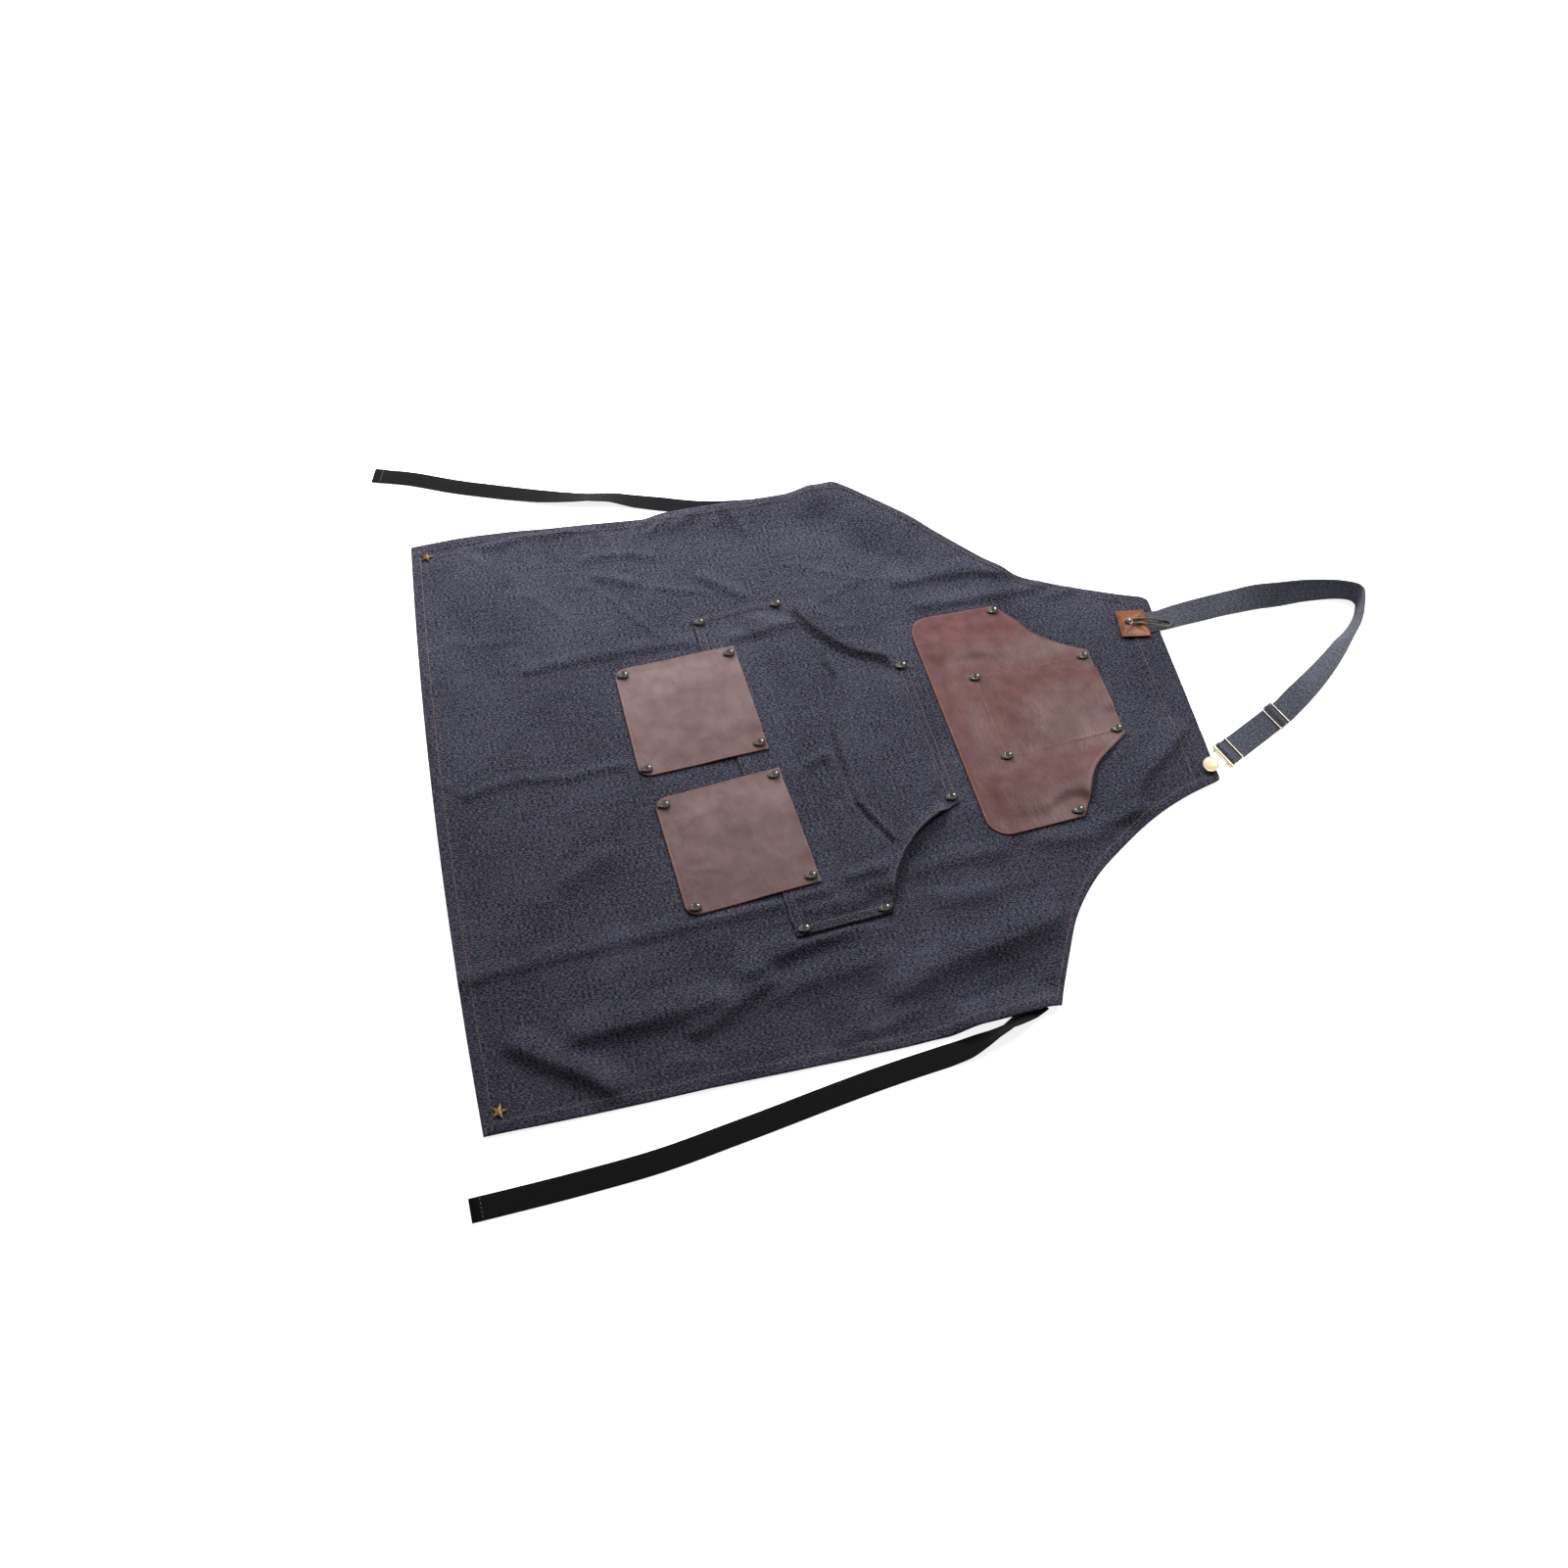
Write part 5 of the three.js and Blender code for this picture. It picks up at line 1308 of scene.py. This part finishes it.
def sew_tie_end(side, table, stitch, finishes):
    """A row of stitches across the folded end of a tie."""
    middles, across = banked_stations(table, TIE_WIDTH, TIE)
    run = lengths_along(middles)
    place = at_shares(middles, [(run[-1] - TIE_SEAM_AT) / run[-1]])[0]
    shares = np.linspace(-TIE_SEAM_HALF, TIE_SEAM_HALF, TIE_SEAM_POINTS)[:, None]
    line = place + across[-1] * TIE_WIDTH * shares + np.array([0, 0, TIE_END - TIE / 2])
    ups = np.tile([0, 0, 1.0], (TIE_SEAM_POINTS, 1))
    return sew("tie_%s_stitches" % side, [(to_metres(line), ups)], stitch, finishes["rust_thread"])


# Studs, stars and button

def pick_faces(piece, test):
    """Selects, in edit mode, the faces whose centre and normal pass a test."""
    bpy.ops.mesh.select_mode(type="FACE")
    bpy.ops.mesh.select_all(action="DESELECT")
    shape = bmesh.from_edit_mesh(piece.data)
    for face in shape.faces:
        face.select_set(bool(test(face.calc_center_median() / MM, face.normal)))
    bmesh.update_edit_mesh(piece.data)


def sink(depth, shrink, centre):
    """Sinks the picked faces straight down and draws them together."""
    bpy.ops.mesh.inset(thickness=0.0002, depth=0)
    bpy.ops.transform.translate(value=(0, 0, -depth * MM))
    bpy.ops.transform.resize(value=(shrink, shrink, 1), center_override=[c * MM for c in centre])


def round_edges(piece, width, smooth_angle):
    """Leaves edit mode, bevels all edges and smooths the shading up to an angle."""
    bpy.ops.object.mode_set(mode="OBJECT")
    edge = piece.modifiers.new("edge", "BEVEL")
    edge.width = width * MM
    edge.segments = 2
    bpy.ops.object.modifier_apply(modifier="edge")
    bpy.ops.object.shade_smooth_by_angle(angle=math.radians(smooth_angle))


def model_skull_stud(finishes):
    """A skull stud at the origin: cranium towards the bib, jaw towards the hem, flat underneath."""
    deselect_all()
    bpy.ops.mesh.primitive_uv_sphere_add(segments=24, ring_count=16, radius=1)
    stud = bpy.context.object
    stud.name = "skull_stud_model"
    bpy.ops.object.mode_set(mode="EDIT")
    bpy.ops.mesh.select_all(action="SELECT")
    bpy.ops.transform.resize(value=[half * MM for half in CRANIUM], center_override=(0, 0, 0))
    bpy.ops.transform.translate(value=(0, CRANIUM_AT * MM, 0))
    bpy.ops.mesh.bisect(plane_co=(0, 0, 0.05 * MM), plane_no=(0, 0, 1), clear_inner=True, use_fill=True)
    pick_faces(stud, lambda c, n: n.y < -0.35 and abs(c.x) < JAW["half"] and c.z < JAW["top"])
    bpy.ops.mesh.extrude_region_move(TRANSFORM_OT_translate={"value": (0, -JAW["length"] * MM, -0.2 * MM)})
    bpy.ops.transform.resize(value=(0.68, 0.35, 0.85), center_override=(0, JAW["at"] * MM, 0))
    for x, y, reach, slope, depth, shrink in SKULL_HOLES:
        pick_faces(stud, lambda c, n: n.z > slope and math.hypot(c.x - x, c.y - y) < reach)
        sink(depth, shrink, (x, y, 0))
    bpy.ops.object.mode_set(mode="OBJECT")
    rounding = stud.modifiers.new("round", "SUBSURF")
    rounding.levels = 1
    rounding.render_levels = 1
    bpy.ops.object.modifier_apply(modifier="round")
    bpy.ops.object.shade_smooth()
    stud.data.materials.append(finishes["gunmetal"])
    return stud


def model_hem_star(finishes):
    """A five-pointed star at the origin, ridged from its peak to its points."""
    deselect_all()
    peak = STAR_HEIGHT - STAR_RIM
    bpy.ops.mesh.primitive_cone_add(vertices=10, radius1=STAR_RADIUS * MM, radius2=0, depth=peak * MM,
                                    location=(0, 0, 0))
    star = bpy.context.object
    star.name = "hem_star_model"
    bpy.ops.object.mode_set(mode="EDIT")
    bpy.ops.mesh.select_all(action="SELECT")
    bpy.ops.transform.translate(value=(0, 0, (peak / 2 + STAR_RIM) * MM))
    bpy.ops.mesh.select_mode(type="VERT")
    bpy.ops.mesh.select_all(action="DESELECT")
    shape = bmesh.from_edit_mesh(star.data)
    for corner in shape.verts:
        turn = math.degrees(math.atan2(corner.co.y, corner.co.x)) - 90
        is_notch = math.hypot(corner.co.x, corner.co.y) > MM and round(turn / 36) % 2 == 1
        corner.select_set(is_notch)
    bmesh.update_edit_mesh(star.data)
    bpy.ops.transform.resize(value=(STAR_NOTCH, STAR_NOTCH, 1), center_override=(0, 0, 0))
    pick_faces(star, lambda c, n: n.z < -0.9)
    bpy.ops.mesh.extrude_region_move(TRANSFORM_OT_translate={"value": (0, 0, -STAR_RIM * MM)})
    bpy.ops.mesh.select_all(action="SELECT")
    bpy.ops.mesh.normals_make_consistent(inside=False)
    round_edges(star, 0.18, 24)
    star.data.materials.append(finishes["antique_brass"])
    return star


def place_copy(model, name, at):
    """A copy of a model with its own mesh, moved so that its place is in the mesh."""
    mesh = model.data.copy()
    mesh.transform(Matrix.Translation(at))
    piece = bpy.data.objects.new(name, mesh)
    bpy.context.collection.objects.link(piece)
    return piece


def seat_height(surface, x, y, reach):
    """The highest point of a surface under a stud's base, in metres."""
    angles = np.linspace(0, 2 * math.pi, 16, endpoint=False)
    base = [(x, y)]
    for share in (0.5, 1):
        base += [(x + share * reach[0] * math.cos(a), y + share * reach[1] * math.sin(a)) for a in angles]
    points, _ = laid_on(surface, np.array(base))
    return points[:, 2].max()


def seat(model, name, node, slot, surface, place, reach):
    """A copy of a model set into a surface, standing for its node."""
    height = seat_height(surface, *place, reach)
    x, y, _ = to_metres([*place, 0])
    dress(place_copy(model, name, (x, y, height - SEATED * MM)), node, slot=slot)


def seat_studs(model, beds):
    for prefix, places, bed in beds:
        surface = surface_of(bed)
        for k, place in enumerate(places, 1):
            node = "%s_stud_%d" % (prefix, k)
            seat(model, node + "_skull", node, "gunmetal", surface, place, SKULL_REACH)
    bpy.data.objects.remove(model)


def seat_stars(model, panel):
    surface = surface_of(panel)
    for side, place in HEM_STARS.items():
        node = "hem_star_" + side
        seat(model, node + "_brass", node, "antique_brass", surface, place, (STAR_RADIUS, STAR_RADIUS))
    bpy.data.objects.remove(model)


def make_button(finishes):
    """A shank button: collar, neck and a cap that tilts on its neck."""
    deselect_all()
    collar, collar_height, neck = BUTTON["collar"], BUTTON["collar_height"], BUTTON["neck"]
    bpy.ops.mesh.primitive_cylinder_add(vertices=40, radius=collar * MM, depth=collar_height * MM,
                                        location=(0, 0, 0))
    button = bpy.context.object
    button.name = "bib_button_brass"
    bpy.ops.object.mode_set(mode="EDIT")
    bpy.ops.mesh.select_all(action="SELECT")
    bpy.ops.transform.translate(value=(0, 0, collar_height / 2 * MM))
    pick_faces(button, lambda c, n: n.z > 0.9)
    bpy.ops.mesh.inset(thickness=(collar - neck) * MM)
    bpy.ops.mesh.extrude_region_move(TRANSFORM_OT_translate={"value": (0, 0, BUTTON["neck_height"] * MM)})
    for rise, scale in [(BUTTON["cap_slope"], BUTTON["cap"] / neck)] + BUTTON_CAP:
        bpy.ops.mesh.extrude_region_move(TRANSFORM_OT_translate={"value": (0, 0, rise * MM)})
        bpy.ops.transform.resize(value=(scale, scale, 1), center_override=(0, 0, 0))
    pick_faces(button, lambda c, n: c.z > BUTTON["cap_from"])
    toward = Vector((CAMERA_AT[0], CAMERA_AT[1], 0)).normalized()
    axis = Vector((0, 0, 1)).cross(toward)
    lean = Matrix.Rotation(math.radians(BUTTON["tilt"]), 4, axis)
    pivot = Vector((0, 0, BUTTON_PIVOT * MM))
    shape = bmesh.from_edit_mesh(button.data)
    lifted = {v for f in shape.faces if f.select for v in f.verts}
    for corner in lifted:
        corner.co = lean @ (corner.co - pivot) + pivot
    bmesh.update_edit_mesh(button.data)
    round_edges(button, 0.12, 40)
    place = to_metres([*(SLIDER_CENTRE + END_LINE * BUTTON_AT), HEM + GAP])
    button.data.transform(Matrix.Translation(place))
    button.data.materials.append(finishes["pale_gold"])
    return button


def make_tab_stud(finishes):
    """A round domed stud with a thin collar."""
    deselect_all()
    radius, height, collar = TAB_STUD["radius"], TAB_STUD["height"], TAB_STUD["collar"]
    dome = (radius * 0.9 * MM, radius * 0.9 * MM, (height - collar) * MM)
    bpy.ops.mesh.primitive_uv_sphere_add(segments=32, ring_count=18, radius=1)
    stud = bpy.context.object
    stud.name = "tab_stud_dome"
    bpy.ops.object.mode_set(mode="EDIT")
    bpy.ops.mesh.select_all(action="SELECT")
    bpy.ops.transform.resize(value=dome, center_override=(0, 0, 0))
    bpy.ops.transform.translate(value=(0, 0, collar * MM))
    bpy.ops.mesh.bisect(plane_co=(0, 0, collar * MM), plane_no=(0, 0, 1), clear_inner=True, use_fill=True)
    pick_faces(stud, lambda c, n: n.z < -0.9)
    bpy.ops.mesh.extrude_region_move(TRANSFORM_OT_translate={"value": (0, 0, 0)})
    bpy.ops.transform.resize(value=(1.11, 1.11, 1), center_override=(0, 0, collar * MM))
    bpy.ops.mesh.extrude_region_move(TRANSFORM_OT_translate={"value": (0, 0, -collar * MM)})
    bpy.ops.object.mode_set(mode="OBJECT")
    bpy.ops.object.shade_smooth_by_angle(angle=math.radians(40))
    stud.data.transform(Matrix.Translation(to_metres([TAB_STUD["x"], TAB_STUD["y"], TAB_TOP + GAP])))
    stud.data.materials.append(finishes["gunmetal"])
    return stud


# Wire work and lace

def eased_corners(points, radius, closed):
    """A line whose corners are rounded with short arcs."""
    points = [np.array(p, float) for p in points]
    count = len(points)
    eased = []
    for k, corner in enumerate(points):
        if not closed and k in (0, count - 1):
            eased.append(corner)
            continue
        before, after = points[k - 1] - corner, points[(k + 1) % count] - corner
        reach = min(radius, np.linalg.norm(before) * 0.45, np.linalg.norm(after) * 0.45)
        start = corner + before / np.linalg.norm(before) * reach
        end = corner + after / np.linalg.norm(after) * reach
        for t in np.linspace(0, 1, 6):
            eased.append((1 - t) ** 2 * start + 2 * t * (1 - t) * corner + t ** 2 * end)
    return eased


def round_curve(name, points, radius, closed=False):
    """A round curve through points in metres, with its radius in millimetres."""
    curve = bpy.data.curves.new(name, "CURVE")
    curve.dimensions = "3D"
    curve.bevel_depth = radius * MM
    curve.bevel_resolution = 3
    curve.use_fill_caps = True
    spline = curve.splines.new("POLY")
    spline.points.add(len(points) - 1)
    spline.points.foreach_set("co", np.column_stack([points, np.ones(len(points))]).ravel())
    spline.use_cyclic_u = closed
    piece = bpy.data.objects.new(name, curve)
    bpy.context.collection.objects.link(piece)
    return piece


def wire_piece(name, wires, material):
    """Round wires, each a list of points, a radius and whether it closes, joined into one piece."""
    made = [
        round_curve(name, to_metres(eased_corners(points, WIRE_BEND, closed)), radius, closed)
        for points, radius, closed in wires
    ]
    deselect_all()
    for wire in made:
        wire.select_set(True)
    bpy.context.view_layer.objects.active = made[0]
    bpy.ops.object.convert(target="MESH")
    bpy.ops.object.join()
    piece = bpy.context.object
    piece.name = name
    bpy.ops.object.shade_smooth()
    piece.data.materials.clear()
    piece.data.materials.append(material)
    return piece


def end_point(along, height, aside=0):
    return [*(SLIDER_CENTRE + END_LINE * along + END_ACROSS * aside), height]


def bar(along, height):
    """The two ends of a bar across the strap's straight run."""
    return [end_point(along, height, -BAR_HALF), end_point(along, height, BAR_HALF)]


def make_slider(finishes):
    ring = bar(-SLIDER_HALF, SLIDER_BACK_Z) + bar(SLIDER_HALF, SLIDER_FRONT_Z)[::-1]
    middle = bar(0, SLIDER_MIDDLE_Z)
    return wire_piece("strap_slider_wire", [(ring, WIRE, True), (middle, WIRE, False)], finishes["wire"])


def make_buckle(finishes):
    far_foot, near_foot = bar(BUCKLE_FOOT_AT, BUCKLE_FOOT_Z)
    ring = [far_foot] + bar(BUCKLE_TOP_AT, BUCKLE_TOP_Z) + [near_foot]
    middle = bar(BUCKLE_MIDDLE_AT, BUCKLE_MIDDLE_Z)
    foot, lip = (
        [end_point(along, BUCKLE_FOOT_Z, side * (BAR_HALF + WIRE)) for side in (-1, 1)]
        for along in (BUCKLE_FOOT_AT, BUCKLE_FOOT_AT + FOOT_LIP)
    )
    arm = [end_point(along, height, -aside) for along, aside, height in HOOK]
    back_arm = [end_point(along, height, aside) for along, aside, height in reversed(HOOK)]
    wires = [
        (ring, WIRE, True), (middle, WIRE, False), (foot, FOOT_BAR, False), (lip, WIRE, False),
        (arm + back_arm, WIRE, False),
    ]
    return wire_piece("button_buckle_wire", wires, finishes["wire"])


def make_lace(finishes):
    """The lace leaves the stud, lies over the tab's edge onto the strap, turns and comes back."""
    plan = np.array(LACE, float)
    drop = smoothstep(plan[:, 1], *LACE_DROP)
    height = (TAB_TOP + GAP) * (1 - drop) + (STRAP_TOP + GAP) * drop + LACE_RADIUS
    route = to_metres(chord_line(np.column_stack([plan, height]), 4))
    lace = round_curve("tab_lace_cord", route, LACE_RADIUS)
    lace.data.materials.append(finishes["lace"])
    dress(lace, "tab_lace", slot="lace")


# Putting it together

def dress(piece, *nodes, slot=None):
    """A piece stands for its CAD nodes, which it hides, and rides on the one body; its slot is not used."""
    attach(piece, "root")
    if nodes:
        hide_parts(*nodes)
    return piece


def main():
    set_camera()
    set_stage()
    finishes = make_finishes()
    make_lace(finishes)
    panel = dress(make_panel(finishes), "apron_panel", slot="denim")
    hand = dress(make_hand_pocket(finishes), "hand_pocket", slot="denim")
    chest = dress(make_chest_pocket(finishes), "chest_pocket", slot="leather")
    leather = {
        side: dress(make_leather_pocket(side, finishes), "leather_pocket_" + side, slot="leather")
        for side in ("left", "right")
    }
    tab = dress(make_tab(finishes), "strap_tab", slot="tab_leather")
    strap = dress(make_neck_strap(finishes), "neck_strap", slot="denim")
    ties = {"left": TIE_LEFT, "right": TIE_RIGHT}
    tie_pieces = {
        side: dress(make_tie(side, table, finishes), "waist_tie_" + side, slot="webbing")
        for side, table in ties.items()
    }

    stitch = model_stitch()
    panel_stitches = dress(sew_panel(panel, stitch, finishes))
    hand_stitches = [dress(row) for row in sew_hand_pocket(hand, stitch, finishes)]
    leather_stitches = dress(sew_leather(leather, chest, stitch, finishes))
    strap_stitches = dress(sew_strap(stitch, finishes))
    tie_stitches = {side: dress(sew_tie_end(side, table, stitch, finishes)) for side, table in ties.items()}

    beds = [("hand", HAND_STUDS, hand), ("chest", CHEST_STUDS, chest)]
    beds += [("leather_" + side, LEATHER_STUDS[side], pocket) for side, pocket in leather.items()]
    seat_studs(model_skull_stud(finishes), beds)
    seat_stars(model_hem_star(finishes), panel)
    dress(make_button(finishes), "bib_button", slot="pale_gold")
    dress(make_tab_stud(finishes), "tab_stud", slot="gunmetal")
    dress(make_slider(finishes), "strap_slider", slot="slider_wire")
    dress(make_buckle(finishes), "button_buckle", slot="pale_gold")

    strap_length = lengths_along(neck_strap_line()[0])[-1] * MM
    for side, tie in tie_pieces.items():
        length = lengths_along(banked_stations(ties[side], TIE_WIDTH, TIE)[0])[-1] * MM


main()
